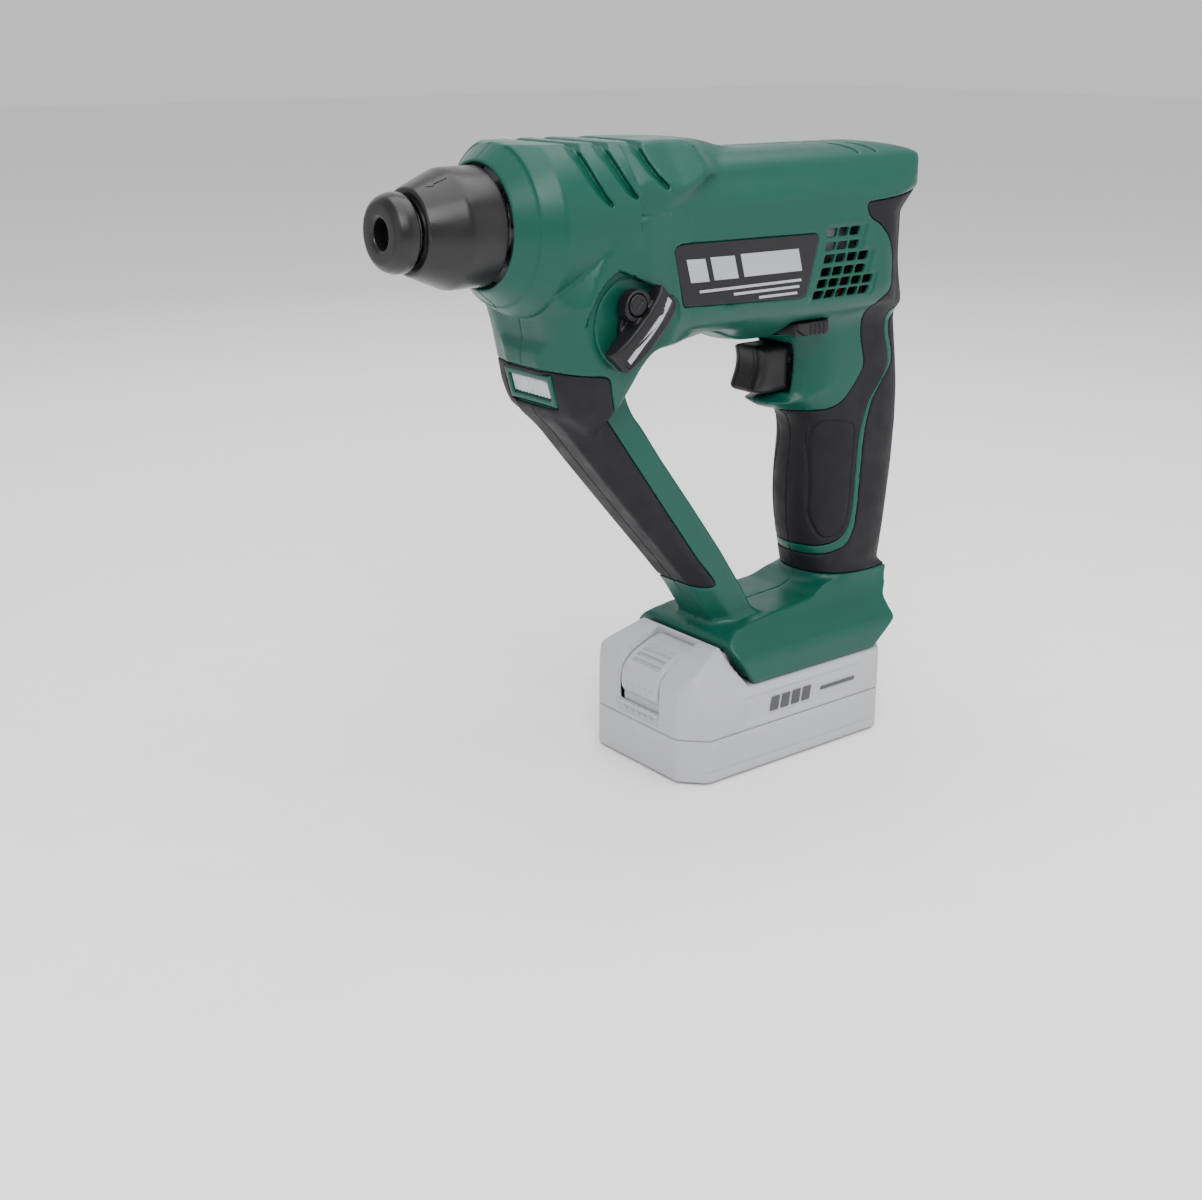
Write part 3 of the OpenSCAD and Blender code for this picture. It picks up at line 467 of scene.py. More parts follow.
GRIP_SIDE = [
    (30, 186), (24, 178.5), (20, 175.6), (9, 173), (-6, 172.4), (-11.4, 170.4), (-13.2, 165), (-12.6, 158),
    (-12, 149.6), (-4, 148.2), (-3, 145.4), (-8, 143), (-17, 141.2), (-23, 137.2), (-24.9, 130),
    (-24.3, 121), (-23.4, 112), (-23.4, 101), (-24.5, 90.4), (-26.9, 79), (-30, 66), (-36, 52), (-68, 52),
    (-72.6, 70), (-74.8, 84), (-76.6, 100), (-78, 113.7), (-79, 131.8), (-78.6, 147.6),
    (-77, 160), (-74.4, 176.4), (-72.6, 190), (-60, 200), (0, 196)]

STRUT_SIDE = [
    (114, 182), (112, 172), (109, 162), (106, 156), (101.4, 150.7), (87.4, 133.7), (67.7, 110.6),
    (46.8, 86.5), (35.9, 73.5), (26, 58), (2, 54), (13.7, 73.3), (25.3, 90.7), (42, 113.4),
    (57.8, 134.2), (67.9, 148.6), (71.9, 153), (75.8, 161.2), (77, 172), (82, 184)]

FOOT_SIDE = [
    (22.7, 37), (26, 42), (30.4, 49), (32, 52.6), (31, 55.4), (24, 58.5), (5, 60.5), (-22, 62), (-32, 66),
    (-70, 68), (-66, 60), (-61, 56), (-60, 48.6), (-56, 45.4), (-46, 37)]

FOOT_SECTION = mirrored([
    (0, 30), (33.7, 30), (33.7, 47), (33, 49.4), (30, 52), (23, 58), (19, 63), (17, 70), (0, 70)])

GRIP_RUBBER = [
    (-33, 226.5), (-35.5, 220.5), (-41.5, 218), (-47.5, 212), (-50.5, 206), (-51.5, 192), (-48.5, 189),
    (-43.5, 185), (-45, 170), (-48, 159), (-44.5, 153.5), (-37, 145.5), (-31, 142), (-19.7, 141),
    (-11, 141), (0, 130), (0, 70), (-100, 66), (-100, 232), (-69, 229.7), (-48, 227.5)]

GREEN_STRIPE = [
    (-110, 190), (-72, 184), (-59, 180), (-58.5, 172), (-61.5, 163.5), (-62.6, 157), (-57.6, 150.5),
    (-51, 142.5), (-47.5, 133), (-46.3, 125), (-45.5, 110), (-45, 99), (-43.5, 90), (-40, 84.5),
    (-32, 81.5), (0, 80), (0, 76.5), (-33, 77.5), (-43, 81), (-47, 89), (-48.2, 99), (-48.8, 110),
    (-49.6, 125), (-50.8, 134), (-54, 144), (-60.6, 152.5), (-66, 158), (-65, 164), (-62, 172),
    (-62.5, 177), (-75, 181), (-110, 187)]

STRUT_RUBBER = [
    (130, 176), (95, 173), (92.4, 165.7), (88.6, 157.8), (80, 145.9), (60, 118.4), (38.7, 89.4),
    (30.3, 79.7), (28.3, 76.5), (32, 75.5), (38.3, 77), (60, 86), (90, 110), (140, 150)]

LABEL = [
    (66.8, 216), (64, 217.5), (-5.9, 216.5), (-7.2, 214.8), (-1.5, 193.5), (0.7, 192.2), (61.5, 194.6)]

# The scoops on the hump: x of the rear and front edge at each height, and height of the foot.
RECESS_Z = [230, 233, 237, 242, 247, 251, 256]
RECESS_FEET = [232.6, 234.6, 237.2]
RECESSES = [
    ([93, 95.2, 98.3, 100.6, 102, 102.6, 99], [94, 98, 102.4, 105.2, 106.8, 107.6, 105.6]),
    ([78, 81.6, 85.4, 88, 89.6, 90.2, 86.5], [79, 84.5, 89.4, 92.6, 94.6, 95.6, 93.6]),
    ([58, 62.6, 68, 72, 74, 74.6, 71], [59, 65.6, 72, 76.6, 78.8, 79.8, 77.8])]

# Screw posts, as (x, z).
BOSSES = [
    (-68, 228), (-68, 178), (-66, 100), (-46, 72), (16, 68), (56, 122), (96, 164), (-25, 143.6)]

# Rows of vent slots, as (z, x of the front end, count); the ends lean back as z rises.
VENT_Z, VENT_LEAN, VENT_PITCH = 204, 0.28, 6.3
VENT_ROWS = [
    (216, -12.5, 3), (210.8, -12, 3), (206, -11.5, 4), (201, -10, 4), (196.6, -8.2, 5), (192.4, -6.6, 5)]


CHIN_Z = [146, 150, 157, 166, 176, 186, 196, 205, 212]
CHIN_X = [98, 101, 106.5, 109.6, 111.4, 113.6, 117, 124, 140]


def at_height(g, heights, values):
    """Values given at some heights, between which they change evenly, as a field."""
    return np.interp(g.z.ravel(), heights, values).astype(np.float32)[None, None, :]


def motor_form(g, side):
    """The straight rear part of the body, its end rounded as seen from above."""
    narrow = np.clip((231 - g.z) / 10, 0, 1)
    half = BODY_HALF + 0.2
    plan = (np.hypot(np.minimum(g.x + 45, 0) / (36.6 - 7 * narrow), g.ay / half) - 1) * half
    plan = plan + narrow * np.clip((-46 - g.x) / 12, 0, 1) * 3
    motor = cut_both(cut_both(outline(soft(MOTOR_SECTION, 2), g.y, g.z), side, 3), plan, 2)
    return cut_both(motor, g.x - 66)


def gear_form(g, side):
    """The wider front part of the body, which shrinks into the rear part behind the hump."""
    panel = outline(soft(SIDE_PANEL), g.x, g.z)
    behind = 14 * np.clip((241 - g.z) / 11, 0, 1) - g.x
    top_inset = np.maximum(behind + 58, 0) ** 2 / 140
    side_inset = np.maximum(behind + 62, 0) ** 2 / 60
    inset = top_inset + (side_inset - top_inset) * np.clip((g.ay - 8) / 12, 0, 1)
    gear = cut_both(outline(soft(GEAR_SECTION, 2), g.y, g.z) + inset, side, 3)
    chin = at_height(g, CHIN_Z, CHIN_X)
    gear = cut_both(gear, (g.ay - 20) * 0.62 + (g.x - chin) * 0.78, 6)
    width = BODY_HALF + np.clip((g.x - 63) * 0.19, 0, 3.1)
    bevel = np.maximum(panel, 0) * 0.85
    low = np.clip((232 - g.z) / 3, 0, 1)
    gear = cut_both(gear, (g.ay - width) * 0.98 - (1 - low) * 6, 0.6)
    return cut_both(gear, (g.ay + bevel - width) * 0.76 - (1 - low) * 6, 0.8)


def nose_form(g):
    """The round nose with its chamfered front."""
    radius = np.hypot(g.y, g.z - AXIS_Z)
    nose = cut_both(radius - 33.4, g.x - NOSE_FRONT)
    nose = cut_both(nose, (radius - 29) * 0.87 + (g.x - NOSE_FRONT) * 0.5, 0.3)
    return cut_both(nose, 84 - g.x)


def tool_form(g):
    """Outer form of the tool's left half, without its overmoulds and openings."""
    side = outline(soft(BODY_SIDE), g.x, g.z)
    body = join(join(motor_form(g, side), gear_form(g, side), 3), nose_form(g), 0.5)
    body = cut_both(body, g.z - 253.9, 0.8)

    grip = cut_both(outline(soft(GRIP_SIDE), g.x, g.z), g.ay - 19, 21)
    body = join(body, grip, 10)

    strut = cut_both(outline(soft(STRUT_SIDE), g.x, g.z), g.ay - 15, 3)
    front = outline(soft(STRUT_SIDE[:10] + [(-60, -60), (-60, 300), (120, 300)]), g.x, g.z)
    strut = cut_both(strut, front * 0.62 + (g.ay - 10) * 0.78, 1)
    foot = cut_both(outline(soft(FOOT_SIDE, 2), g.x, g.z), outline(soft(FOOT_SECTION, 2), g.y, g.z), 1)
    foot = cut_both(foot, 37.9 - g.z, 1)
    return join(join(body, strut, 5), foot, 4)


def scooped(g, form):
    """The form with the hump's scoops, deepest at their rear wall, and the two grooves behind."""
    outer = form
    for ends, foot_z in zip(RECESSES, RECESS_FEET):
        rear, front = [at_height(g, RECESS_Z, end) for end in ends]
        span = np.maximum(front - rear, 1)
        depth = 0.2 + 2.1 * np.clip((front - g.x) / span, 0, 1) ** 0.8
        area = cut_both(cut_both(rear - g.x, g.x - front) * 0.85, foot_z - g.z, 2.4)
        outer = sink(outer, form, area, depth, 0.5)
    for x in (-34, -44):
        groove = cut_both(np.abs(g.x + 0.5 * (g.ay - 12) - x) - 1.6, np.abs(g.ay - 12) - 7, 2)
        outer = sink(outer, form, cut_both(groove, 236 - g.z), 1.1, 0.5)
    return outer


def vents(g):
    """The shallow frames of the vents and the slots in them, seen from the side."""
    frames = slots = FAR
    leaned = lambda x, z: x + VENT_LEAN * (z - VENT_Z)
    shear = leaned(g.x, g.z)
    for first in range(0, len(VENT_ROWS), 2):
        rows = VENT_ROWS[first:first + 2]
        top, bottom = rows[0][0] + 2.3, rows[1][0] - 2.3
        x1 = max(leaned(x, z) for z, x, _ in rows) + 1.6
        x0 = min(leaned(x, z) - VENT_PITCH * count for z, x, count in rows) - 1.2
        frames = np.minimum(frames, cut_both(np.abs(shear - (x0 + x1) / 2) - (x1 - x0) / 2,
                                             np.abs(g.z - (top + bottom) / 2) - (top - bottom) / 2, 1))
        for z, x, count in rows:
            for i in range(count):
                middle = leaned(x, z) - VENT_PITCH * i - 2.6
                slot = cut_both(np.abs(shear - middle) - 2.75, np.abs(g.z - z) - 1.55, 0.6)
                slots = np.minimum(slots, slot)
    return frames, slots


def lamp_axes(g):
    """Distances out of and up along the lamp's tilted frame, from its centre."""
    x, z = g.x - LAMP_X, g.z - LAMP_Z
    return (x * math.cos(LAMP_TILT) - z * math.sin(LAMP_TILT),
            x * math.sin(LAMP_TILT) + z * math.cos(LAMP_TILT))


def knob_seat(g, outer, ring):
    """The outer form with the knob's round recess and the marks on its floor."""
    floor_y = 29.6
    recess = cut_both(ring - 21.5, (g.z - 210.6) * 0.91 - (g.x - 92) * 0.41, 2)
    outer = cut_both(outer, -cut_both(recess, floor_y - g.y, 0.3), 0.5)
    mark = cut_both(np.abs(ring - 17.2) - 0.4, 86 - g.x)
    x, z = g.x - 89, g.z - 172.5
    mark = join(mark, block(x * 0.8 + z * 0.6, g.y - floor_y, z * 0.8 - x * 0.6, (2.2, 2, 0.4)))
    return cut_both(outer, -cut_both(mark, floor_y - 0.4 - g.y), 0.2)


def housing(g, form, left):
    """One housing half: its shell, bosses, pockets for the rubber and label, and openings."""
    region = lambda points, reach=3: outline(soft(points, reach), g.x, g.z)
    slab = lambda x0, x1, half, z0, z1: block(
        g.x - (x0 + x1) / 2, g.y, g.z - (z0 + z1) / 2, ((x1 - x0) / 2, half, (z1 - z0) / 2))
    around = np.hypot(g.y, g.z - AXIS_Z)
    frames, slots = vents(g)
    outer = sink(scooped(g, form), form, frames, 0.55, 0.4)
    outer = sink(outer, form, region(GRIP_RUBBER) - 0.1, RUBBER + 0.1, 0.5)
    outer = join(outer, cut_both(form + 0.05, region(GREEN_STRIPE) + 0.1, 0.5))
    outer = sink(outer, form, region(STRUT_RUBBER) - 0.1, RUBBER + 0.1, 0.5)
    ring = np.hypot(g.x - KNOB_X, g.z - KNOB_Z - 1)
    if left:
        outer = knob_seat(g, outer, ring)

    hollow = join(cut_both(form + WALL, outer + 1.5), cut_both(around - COLLAR_BORE, 108 - g.x))
    if left:
        hollow = take(hollow, cut_both(ring - 23.5, 27.2 - g.y))
    shell = take(outer, hollow)
    posts = holes = FAR
    for x, z in BOSSES:
        away = np.hypot(g.x - x, g.z - z)
        posts = np.minimum(posts, away - 4.7)
        holes = np.minimum(holes, away - (1.5 if left else 3.6))
    shell = join(shell, cut_both(posts, form + 1.2))
    collar = cut_both(cut_both(around - 28.4, COLLAR_BORE - around),
                      cut_both(119 - g.x, g.x - COLLAR_FRONT), 0.3)
    collar = cut_both(collar, (around - 28.4) * 0.77 + (g.x - NOSE_FRONT + 0.1) * 0.64, 0.3)
    shell = join(shell, collar, 0.2)
    deck = cut_both(block(g.x + 14, g.y, g.z - 52.6, (36, 26, 1.1)), form + 0.5)
    wall = cut_both(block(g.x + 14, g.ay - 26, g.z - 46.5, (36, 1.2, 6.5)), form + 0.5)
    shell = join(shell, join(deck, wall))

    shell = take(shell, cut_both(holes, g.y - 12 if left else 11 - g.y))
    shell = take(shell, join(slab(-52, 38, 23.9, 30, 51.6), slab(-52, 32, 31.1, 30, 40.4)))
    rails = block(g.x + 14, g.ay - 23.9, g.z - 41.9, (36, 3, 1.7), 0.3)
    shell = join(shell, rails)
    shell = take(shell, cut_both(slots, 20 - g.y), 0.3)
    shell = take(shell, cut_both(region(LABEL, 1.6) - 0.15, 28.95 - g.y), 0.4)
    trigger_window = slab(-24, 24, 9.3, 149.6, 170.4)
    shell = take(shell, trigger_window, 0.6)
    lever_window = slab(-22, -2, 40, 174.6, 181.4)
    shell = take(shell, lever_window, 0.5)
    out, up = lamp_axes(g)
    shell = take(shell, block(out - 4, g.y, up, (8.05, 14.6, 6.6), 0.8), 0.4)
    if left:
        shell = take(shell, cut_both(np.hypot(g.x - KNOB_X, g.z - KNOB_Z) - 6.3, 20 - g.y))
    return cut_both(shell, 0.03 - g.y, 0.5)


tool_grid = Grid((-90, -1, 33), (133, 36, 257), 0.5)
form = tool_form(tool_grid)
for left in (True, False):
    hand = "left" if left else "right"
    piece(f"housing_{hand}_shell", tool_grid, housing(tool_grid, form, left), "tool", "green_abs",
          MATERIALS["green_abs"], [f"housing_{hand}"], coarse=0.12, flip=not left)


def overmould(g, form, points, keep=None):
    """Rubber skin of the form inside a side outline."""
    skin = cut_both(form, -(form + RUBBER), 0.3)
    skin = cut_both(skin, outline(soft(points, 3), g.x, g.z) + 0.12, 0.9)
    if keep is not None:
        skin = take(skin, keep, 0.9)
    return cut_both(skin, 0.05 - g.y, 0.4)


g = tool_grid
stripe = outline(soft(GREEN_STRIPE, 3), g.x, g.z) - 0.12
grip_skin = overmould(g, form, GRIP_RUBBER, stripe)
pad = outline(soft([(-44, 136), (-27, 137), (-26.6, 120), (-26.4, 96), (-31, 84.5), (-39, 86.5),
                    (-42.4, 96), (-43, 118)], 5), g.x, g.z)
grip_skin = sink(grip_skin, form, np.abs(pad) - 0.35, 0.45, 0.3)
out, up = lamp_axes(g)
lamp_hole = block(out - 4, g.y, up, (8.05, 14.7, 6.7), 0.8)
strut_skin = overmould(g, form, STRUT_RUBBER, lamp_hole)
for left in (True, False):
    hand = "left" if left else "right"
    for name, skin in (("grip_rubber", grip_skin), ("strut_rubber", strut_skin)):
        piece(f"{name}_{hand}_skin", g, skin, "tool", "soft_rubber", MATERIALS["soft_rubber"],
              [f"{name}_{hand}"], coarse=0.08, flip=not left)


# ---------------------------------------------------------------- label plates

def label_parts(left):
    hand = "left" if left else "right"
    g = Grid((-9, 28.4, 190), (69, 31, 219), 0.3)
    shape = cut_both(outline(soft(LABEL, 1.6), g.x, g.z) + 0.15, np.abs(g.y - 29.5) - 0.45, 0.4)
    piece(f"label_plate_{hand}_panel", g, shape, "tool", "label_plastic", MATERIALS["label_plastic"],
          [f"label_plate_{hand}"], coarse=0.1, flip=not left)
    sign = 1 if left else -1
    place = lambda a, y, b: (a, sign * y, b)
    parts = []
    for i, (x, width) in enumerate([(4, 30), (37, 12), (51.5, 9)]):
        x1 = x + width
        parts.append(plate(f"bar_{hand}_{i}", [(x, 211.5), (x1, 211.8), (x1 - 2.4, 203.2), (x - 2.4, 203)],
                           29.9, 30.02, place))
    for i, width in enumerate([52, 34, 20]):
        z = 200 - 2.4 * i
        parts.append(plate(f"rule_{hand}_{i}", [(2 + i, z), (2 + i + width, z + 0.1),
                                                (1.7 + i + width, z - 0.9), (1.7 + i, z - 1)],
                           29.9, 30.02, place))
    motif = bundle(f"label_motif_{hand}", parts)
    finish_piece(motif, "tool", PRINT)


label_parts(True)
label_parts(False)


# ---------------------------------------------------------------- lamp

g = Grid((100, -16, 156), (118, 16, 178), 0.3)
out, up = lamp_axes(g)
bezel = block(out + 1.9, g.y, up, (2.0, 14.45, 6.45), 0.9)
bezel = take(bezel, block(out, g.y, up, (6, 11.9, 3.9), 0.8), 0.7)
piece("lamp_bezel_frame", g, bezel, "tool", "green_abs", MATERIALS["green_abs"], ["lamp_bezel"], coarse=0.05)
RIB_PITCH = 2.1
lens = block(out + 2.1, g.y, up, (1.4, 11.7, 3.7), 0.6)
lens = lens + 0.16 * (1 + np.cos(g.y * 2 * math.pi / RIB_PITCH))
piece("lamp_lens_ribbed", g, lens, "tool", "lens_clear", MATERIALS["lens_clear"], ["lamp_lens"])


# ---------------------------------------------------------------- chuck

sleeve = lathe("chuck_sleeve_shell", rounded_profile(
    [(132, 18.8), (132, 20.9), CONE_REAR, CONE_FRONT, (160.5, 14.5), (160.5, 11.8), (158, 11.8),
     (157.8, 14.4), (146.4, 18.4), (142, 18.4), (141.5, 18.8)],
    [0.4, 0.9, 1.4, 0.5, 0.5, 0.5, 0, 0, 0, 0, 0]))
finish_piece(sleeve, "sleeve", MATERIALS["sleeve_plastic"], ["chuck_sleeve"])
cap = lathe("dust_cap_lip", rounded_profile(
    [(162.4, 10.05), (162.4, 13.1), (163.3, 13.7), (166.5, 13.7), (169.6, 12.6), (171, 10.6), (171, 6.2),
     (170, 5.2), (165.5, 5.2), (165.5, 10.05)],
    [0.2, 0.3, 0.6, 0.9, 1.2, 0.9, 0.5, 0.4, 0.2, 0.2]))
finish_piece(cap, "spindle", MATERIALS["sleeve_plastic"], ["dust_cap"])


def on_cone(a, lift, b):
    """A place on the sleeve's cone: a along it, b round it, lift out of it."""
    share = (a - CONE_REAR[0]) / (CONE_FRONT[0] - CONE_REAR[0])
    radius = CONE_REAR[1] + (CONE_FRONT[1] - CONE_REAR[1]) * share + lift
    turn = math.radians(24) + b / 18
    return (a, radius * math.sin(turn), AXIS_Z + radius * math.cos(turn))


arrow = plate("sleeve_arrow", [(149, 0.5), (154, 0.5), (154, 1.5), (156.4, 0), (154, -1.5), (154, -0.5),
                               (149, -0.5)], -0.12, 0.22, on_cone)
finish_piece(arrow, "sleeve", MATERIALS["sleeve_plastic"])


# ---------------------------------------------------------------- mode knob

SLANT = math.sqrt(0.5)     # the knob's bar points 45 degrees down and forwards


def bar_back(along):
    """How far the bar's back falls at a distance along it."""
    return 0.012 * along ** 2


g = Grid((67, 10, 172), (103, 42, 208), 0.3)
away = np.hypot(g.x - KNOB_X, g.z - KNOB_Z)
knob = cut_both(away - 8, np.abs(g.y - 31.2) - 1.2, 0.5)
knob = join(knob, cut_both(away - 5.9, np.abs(g.y - 23.5) - 7.5))
knob = join(knob, cut_both(np.hypot(g.x - KNOB_X, g.z - KNOB_Z - 3) - 1.5, np.abs(g.y - 14) - 3))
along = (g.x - KNOB_X) * SLANT - (g.z - KNOB_Z) * SLANT
across = (g.x - KNOB_X) * SLANT + (g.z - KNOB_Z) * SLANT
bar = block(along, g.y - 36, across, (16.5, 4.6, 5.2), 1.2)
bar = cut_both(bar, (g.y - (40.5 - bar_back(along))) * 0.95, 1.5)
bar = cut_both(bar, (np.abs(along) - 13.5) * 0.64 + (g.y - 38.6) * 0.77, 0.8)
knob = join(knob, bar, 1.2)
lobe = cut_both(np.hypot(g.x - BUTTON_X + 0.6, g.z - BUTTON_Z + 0.6) - 6, np.abs(g.y - 34.5) - 2.9, 1)
knob = join(knob, lobe, 0.8)
groove = np.abs(across + 0.4 + np.where(along > 6, (along - 6) * 0.22, 0)) - 1.5
knob = sink(knob, bar, cut_both(groove, np.abs(along) - 15), 0.5, 0.3)
knob = take(knob, cut_both(np.hypot(g.x - BUTTON_X, g.z - BUTTON_Z) - 4.25, 32.4 - g.y), 0.3)
piece("mode_knob_grip", g, knob, "knob", "control_plastic", MATERIALS["control_plastic"], ["mode_knob"],
      coarse=0.06)
run = [-14.5 + 28 * i / 20 for i in range(21)]
stripe_line = [(a, 0.7 + max(0, a - 5.5) * 0.11) for a in run] + [
    (a, -1.5 - max(0, a - 5.5) * 0.16) for a in reversed(run)]


def on_knob(a, y, b):
    """A place on the bar's curved back: a along it, b across."""
    return (KNOB_X + (a + b) * SLANT, y - bar_back(a), KNOB_Z + (b - a) * SLANT)


pointer = plate("knob_pointer", stripe_line, 39.2, 40.1, on_knob)
finish_piece(pointer, "knob", PRINT)
g = Grid((84, 33, 194), (94, 39, 204), 0.2)
x, z = (g.x - BUTTON_X) * 0.7, (g.z - BUTTON_Z) * 0.7
button = cut_both(np.hypot(g.x - BUTTON_X, g.z - BUTTON_Z) - 3.9, np.abs(g.y - 36.1) - 1.9, 0.9)
button = take(button, block(x - z, g.y - 38, x + z, (2.4, 0.5, 0.5), 0.1), 0.2)
piece("knob_button_cap", g, button, "knob_button", "control_plastic", MATERIALS["control_plastic"],
      ["knob_button"])


# ---------------------------------------------------------------- trigger and direction lever

g = Grid((-20, -10, 148.5), (7, 10, 171), 0.3)
face = outline(soft([(-15.4, 150), (-8, 150), (-2, 150), (3, 151), (4.6, 152.4), (3.2, 156), (1.6, 160),
                     (1.2, 164), (2.6, 169.8), (-15.4, 169.8)], 2), g.x, g.z)
trigger = cut_both(face, np.abs(g.y) - 8.8, 4.5)
trigger = join(trigger, block(g.x + 16.4, g.y, g.z - TRIGGER_Z, (2, 4, 4), 0.5))
trigger = take(trigger, cut_both(np.hypot(g.y, g.z - TRIGGER_Z) - 2.8, g.x + 13.8))
trigger = sink(trigger, face, cut_both(np.abs(np.abs(g.y) - 4.4) - 0.35, -g.x - 8), 0.45, 0.3)
piece("trigger_blade", g, trigger, "trigger", "control_plastic", MATERIALS["control_plastic"], ["trigger"],
      coarse=0.05)

g = Grid((-23, -25, 173), (-1, 25, 183), 0.35)
rod = block(g.x + 12.1, g.y, g.z - 177.9, (8.5, 22, 2.5), 0.6)
rod = take(rod, block(g.x + 11.5, g.y, g.z - 175.3, (4.5, 12, 1.3)))
pads = outline(soft([(-21, 175.3), (-9, 175.3), (-4, 178), (-3, 181), (-21, 181)], 1.5), g.x, g.z)
pads = cut_both(pads, np.abs(np.abs(g.y) - 22.4) - 1.5, 0.9)
ribs = cut_both(np.abs((g.x + 14) % 2.4 - 1.2) - 0.4, np.abs(g.x + 14) - 5)
pads = take(pads, cut_both(ribs, 23.4 - np.abs(g.y)), 0.3)
piece("direction_lever_pads", g, join(rod, pads, 0.6), "direction", "control_plastic",
      MATERIALS["control_plastic"], ["direction_lever"], coarse=0.05)


# ---------------------------------------------------------------- battery

PACK_SIDE = [
    (-PACK_X, 1.5), (-56.4, 0), (56.4, 0), (PACK_X, 1.5), (PACK_X, 33), (57.4, 40), (52.6, 45.8),
    (45, 49.4), (36, 53.2), (34, 53.4), (33, 50), (31, 45), (25.5, 37.6), (-53, 37.6), (-57, 36.2),
    (-PACK_X, 33)]
PACK_PLAN = [
    (-PACK_X, -25), (-48, -PACK_Y), (48, -PACK_Y), (PACK_X, -25), (PACK_X, 25), (48, PACK_Y),
    (-48, PACK_Y), (-PACK_X, 25)]
PACK_SECTION = mirrored([
    (0, 0), (34.2, 0), (PACK_Y, 1.5), (PACK_Y, 30), (34.6, 34.6), (33, 37.6), (31, 44), (24, 54), (0, 54)])
FLUTES = (0, 4, 8)

g = Grid((-60, -1, -1), (60, 37, 56), 0.5)
pack = cut_both(outline(PACK_SIDE, g.x, g.z), outline(PACK_PLAN, g.x, g.y), 2.4)
pack = cut_both(pack, outline(PACK_SECTION, g.y, g.z), 1.6)
front_bay = cut_both(g.ay - 13.6, np.maximum(40 - g.x, 21.2 - g.z), 1.5)
outer = sink(pack, pack, front_bay, 1.0, 0.6)
for y in FLUTES:
    flute = cut_both(cut_both(np.abs(g.ay - y) - 1.1, 50 - g.x), np.abs(g.z - 25) - 2.8, 1)
    outer = sink(outer, pack, flute, 1.7, 0.4)
side_bay = cut_both(np.abs(g.x + 4) - 33, np.abs(g.z - 27.6) - 5.6, 2)
outer = sink(outer, pack, cut_both(side_bay, 30 - g.ay), 0.5, 0.4)
foot_line = cut_both(np.abs(g.x) - 50, np.abs(g.z - 5) - 0.5)
outer = sink(outer, pack, cut_both(foot_line, 30 - g.ay), 0.4, 0.3)
inner = cut_both(cut_both(pack + 2, g.z - 35.6), g.x - 55.6)
shell = take(outer, inner)
lower = cut_both(shell, g.z - SEAM_Z, 0.9)
upper = cut_both(shell, SEAM_Z + 0.1 - g.z, 0.9)
neck = block(g.x + 6, g.y, g.z - 41, (40, 20.2, 5))
tower = block(g.x + 6, g.y, g.z - 47.2, (40, 23.4, 2.8), 0.6)
upper = join(upper, take(join(neck, tower), g.z - 37))
upper = take(upper, block(g.x - 49.6, g.y, g.z - 47.3, (15, 12.6, 21.3), 0.8), 0.6)
upper = join(upper, block(g.x - 56.8, g.y, g.z - 25, (1.2, 12.8, 0.7)))
for y in (0, 10):
    upper = take(upper, block(g.x + 44, g.ay - y, g.z - 52, (16, 1.6, 10)))


BELOW = int(round(1 / g.step))     # grid steps from y = -1 to the middle


def whole(field):
    """The field of a half grid from y = -1, continued across the middle."""
    return np.concatenate([field[:, :BELOW:-1, :], field[:, BELOW:, :]], axis=1)


full = Grid((-60, 0, -1), (60, 0, 56), g.step)
count = pack.shape[1] - BELOW - 1
full.low[1] = -count * g.step
full.y = (full.low[1] + g.step * np.arange(2 * count + 1)).astype(np.float32)[None, :, None]
piece("battery_lower_shell", full, whole(lower), "battery", "battery_shell", MATERIALS["battery_shell"],
      ["battery_case_lower"], coarse=0.12)
piece("battery_upper_shell", full, whole(upper), "battery", "battery_shell", MATERIALS["battery_shell"],
      ["battery_case_upper"], coarse=0.12)

g = Grid((33, -13, 21), (59, 13, 53), 0.3)
tongue = outline(soft([(35.2, 27), (53.6, 27.6), (57, 30.6), (57.5, 36), (56, 41), (51, 45.4), (44, 48.6),
                       (35.2, 51.2)], 2.5), g.x, g.z)
latch = cut_both(tongue, np.abs(g.y) - 12, 2)
latch = join(latch, block(g.x - 39.2, g.y, g.z - 27, (4, 8, 3)))
latch = join(latch, block(g.x - 54.4, g.y, g.z - 26.5, (0.8, 11.6, 4.5), 0.3))
for i in range(4):
    rib = np.hypot(g.x - (LATCH_X + 0.6 + 2.7 * i), g.z - (48.7 - 1.75 * i)) - 1.0
    latch = take(latch, cut_both(rib, np.abs(g.y) - 8.6), 0.3)
latch = take(latch, cut_both(np.hypot(g.x - LATCH_X, g.y) - 3.4, g.z - 32))
for y in FLUTES:
    flute = cut_both(cut_both(np.abs(np.abs(g.y) - y) - 1.1, np.abs(g.z - 31) - 4), 56.8 - g.x)
    latch = take(latch, flute, 0.3)
latch = cut_both(latch, 35.2 - g.x)
piece("battery_latch_button", g, latch, "latch", "battery_shell", MATERIALS["battery_shell"],
      ["battery_latch"], coarse=0.05)

for sign, hand in ((1, "left"), (-1, "right")):
    place = lambda a, y, b: (a, sign * y, b)
    bars = []
    for i in range(4):
        x = 10 - 6 * i
        bars.append(plate(f"cell_{hand}_{i}", [(x, 30.5), (x + 4.4, 30.5), (x + 5.4, 24.5), (x + 1, 24.5)],
                          35.1, 35.3, place))
    bars.append(plate(f"band_{hand}", [(-34, 28.2), (-14, 28.2), (-13.6, 26.8), (-33.6, 26.8)],
                      35.1, 35.3, place))
    finish_piece(bundle(f"battery_marks_{hand}", bars), "battery", DARK_PRINT)
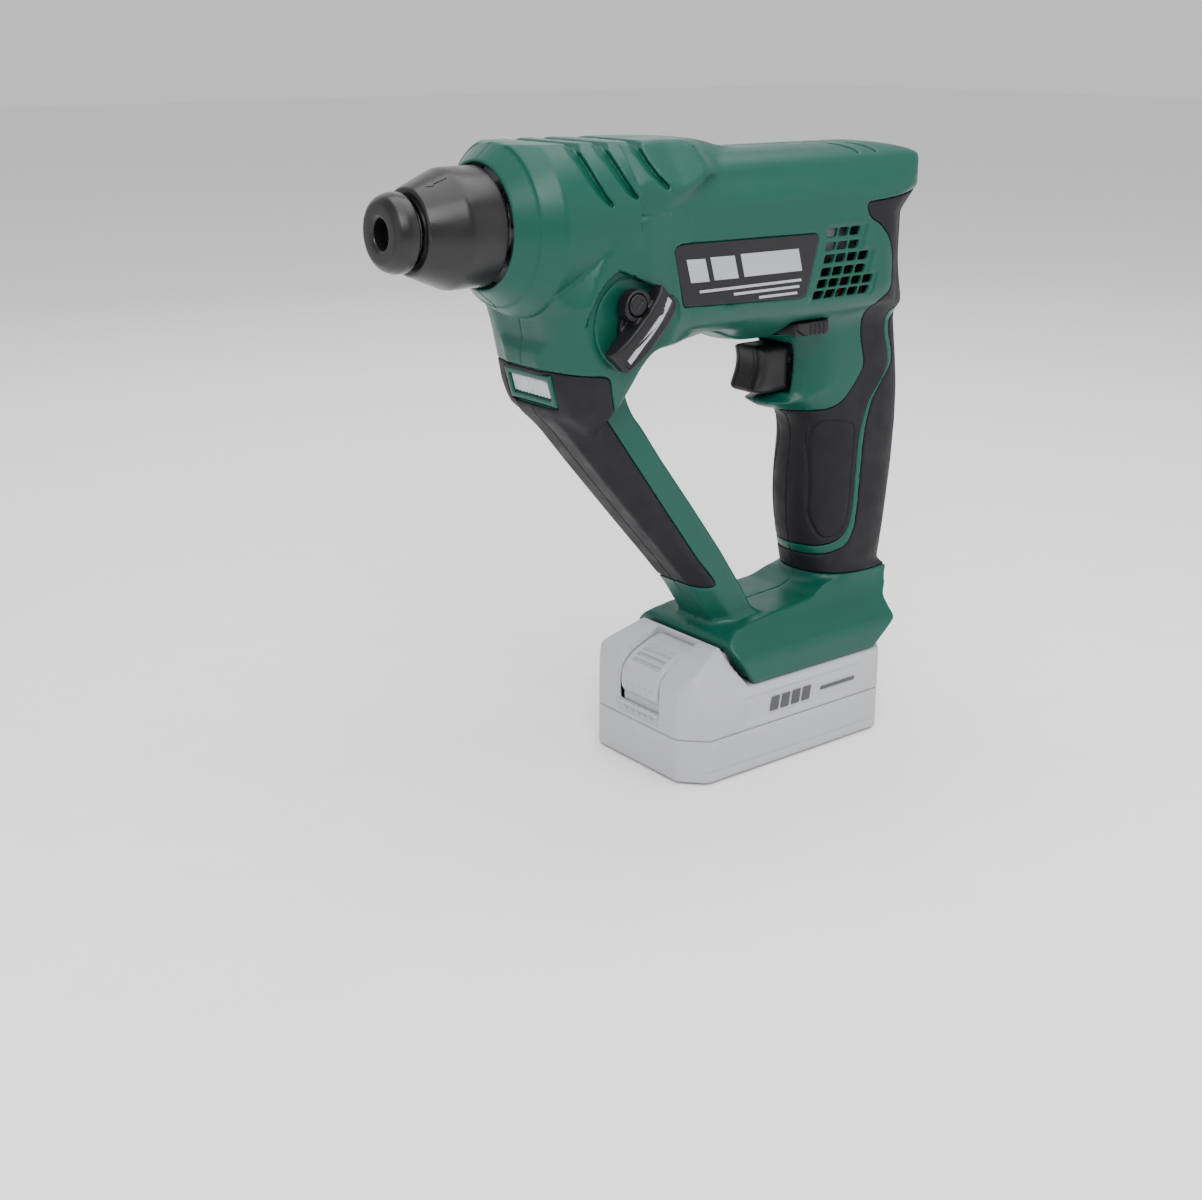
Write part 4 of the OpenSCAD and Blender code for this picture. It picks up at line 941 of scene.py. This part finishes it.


# ---------------------------------------------------------------- springs

def spring(node, body, start, along, length, radius, wire, turns):
    """A coil of round wire from start along an axis, riding on a body."""
    steps_per_turn, sides = 24, 10
    n = np.array(along, float)
    a = np.roll(n, 1)
    b = np.cross(n, a)
    share = np.linspace(0, 1, turns * steps_per_turn + 1)[:, None]
    out = a * np.cos(share * turns * 2 * math.pi) + b * np.sin(share * turns * 2 * math.pi)
    middle = np.array(start) + n * (wire + (length - 2 * wire) * share) + out * radius
    around = np.linspace(0, 2 * math.pi, sides, endpoint=False)
    points = np.concatenate([middle + wire * (out * math.cos(t) + n * math.sin(t)) for t in around])
    count = len(middle)
    faces = []
    for i in range(sides):
        this, other = i * count, (i + 1) % sides * count
        faces += [(this + j, this + j + 1, other + j + 1, other + j) for j in range(count - 1)]
    faces += [tuple(i * count + end for i in range(sides)) for end in (0, count - 1)]
    coil = mesh_of(node + "_coil", points / 1000, faces)
    sharpen(coil)
    finish_piece(coil, body, MATERIALS[slot_of[node]], [node])
    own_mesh(coil)


spring("sleeve_spring", "spindle", (124.5, 0, AXIS_Z), (1, 0, 0), 19, 13.4, 0.8, 5)
spring("trigger_spring", "tool", (-28.4, 0, TRIGGER_Z), (1, 0, 0), 14.2, 2, 0.45, 6)
spring("latch_spring", "battery", (LATCH_X, 0, 23), (0, 0, 1), 8.4, 2.4, 0.45, 4)


# ---------------------------------------------------------------- studio

def area_light(name, at, toward, size, watts):
    lamp = bpy.data.lights.new(name, "AREA")
    lamp.shape = "RECTANGLE"
    lamp.size, lamp.size_y = size
    lamp.energy = watts
    shown = bpy.data.objects.new(name, lamp)
    bpy.context.scene.collection.objects.link(shown)
    shown.location = at
    shown.rotation_euler = (Vector(toward) - Vector(at)).to_track_quat("-Z", "Y").to_euler()


middle = (0.03, 0, 0.13)
area_light("key", (0.55, 0.75, 0.95), middle, (0.6, 0.6), 10.5)
area_light("top", (-0.1, 0.05, 1.15), middle, (1.1, 1.1), 13)
area_light("fill", (-0.75, 0.8, 0.45), middle, (0.8, 0.9), 2.2)
area_light("front", (1.0, 0.1, 0.35), middle, (0.7, 0.7), 1.3)
area_light("back", (-0.2, -0.9, 0.7), middle, (1.2, 0.8), 2)

world = bpy.data.worlds.new("studio")
world.use_nodes = True
world.node_tree.nodes["Background"].inputs["Color"].default_value = (1, 1, 1, 1)
world.node_tree.nodes["Background"].inputs["Strength"].default_value = 0.75
bpy.context.scene.world = world

floor_mesh = bpy.data.meshes.new("floor")
reach, below = 6, -0.0002
floor_mesh.from_pydata([(-reach, -reach, below), (reach, -reach, below), (reach, reach, below),
                        (-reach, reach, below)], [], [(0, 1, 2, 3)])
floor = link("floor", floor_mesh)
floor_mesh.materials.append(finish_of("floor_paint", (0.93, 0.93, 0.93), 0.7, grain=300, depth=0.02,
                                      mottle=0.01))

camera = bpy.data.cameras.new("camera")
camera.lens = 50
camera.sensor_width = 36
camera.clip_start = 0.01
seen_from = bpy.data.objects.new("camera", camera)
bpy.context.scene.collection.objects.link(seen_from)
seen_from.location = (0.46223, 0.49441, 0.29262)
seen_from.rotation_euler = Vector((-0.5815, -0.7454, -0.3259)).to_track_quat("-Z", "Y").to_euler()
bpy.context.scene.camera = seen_from
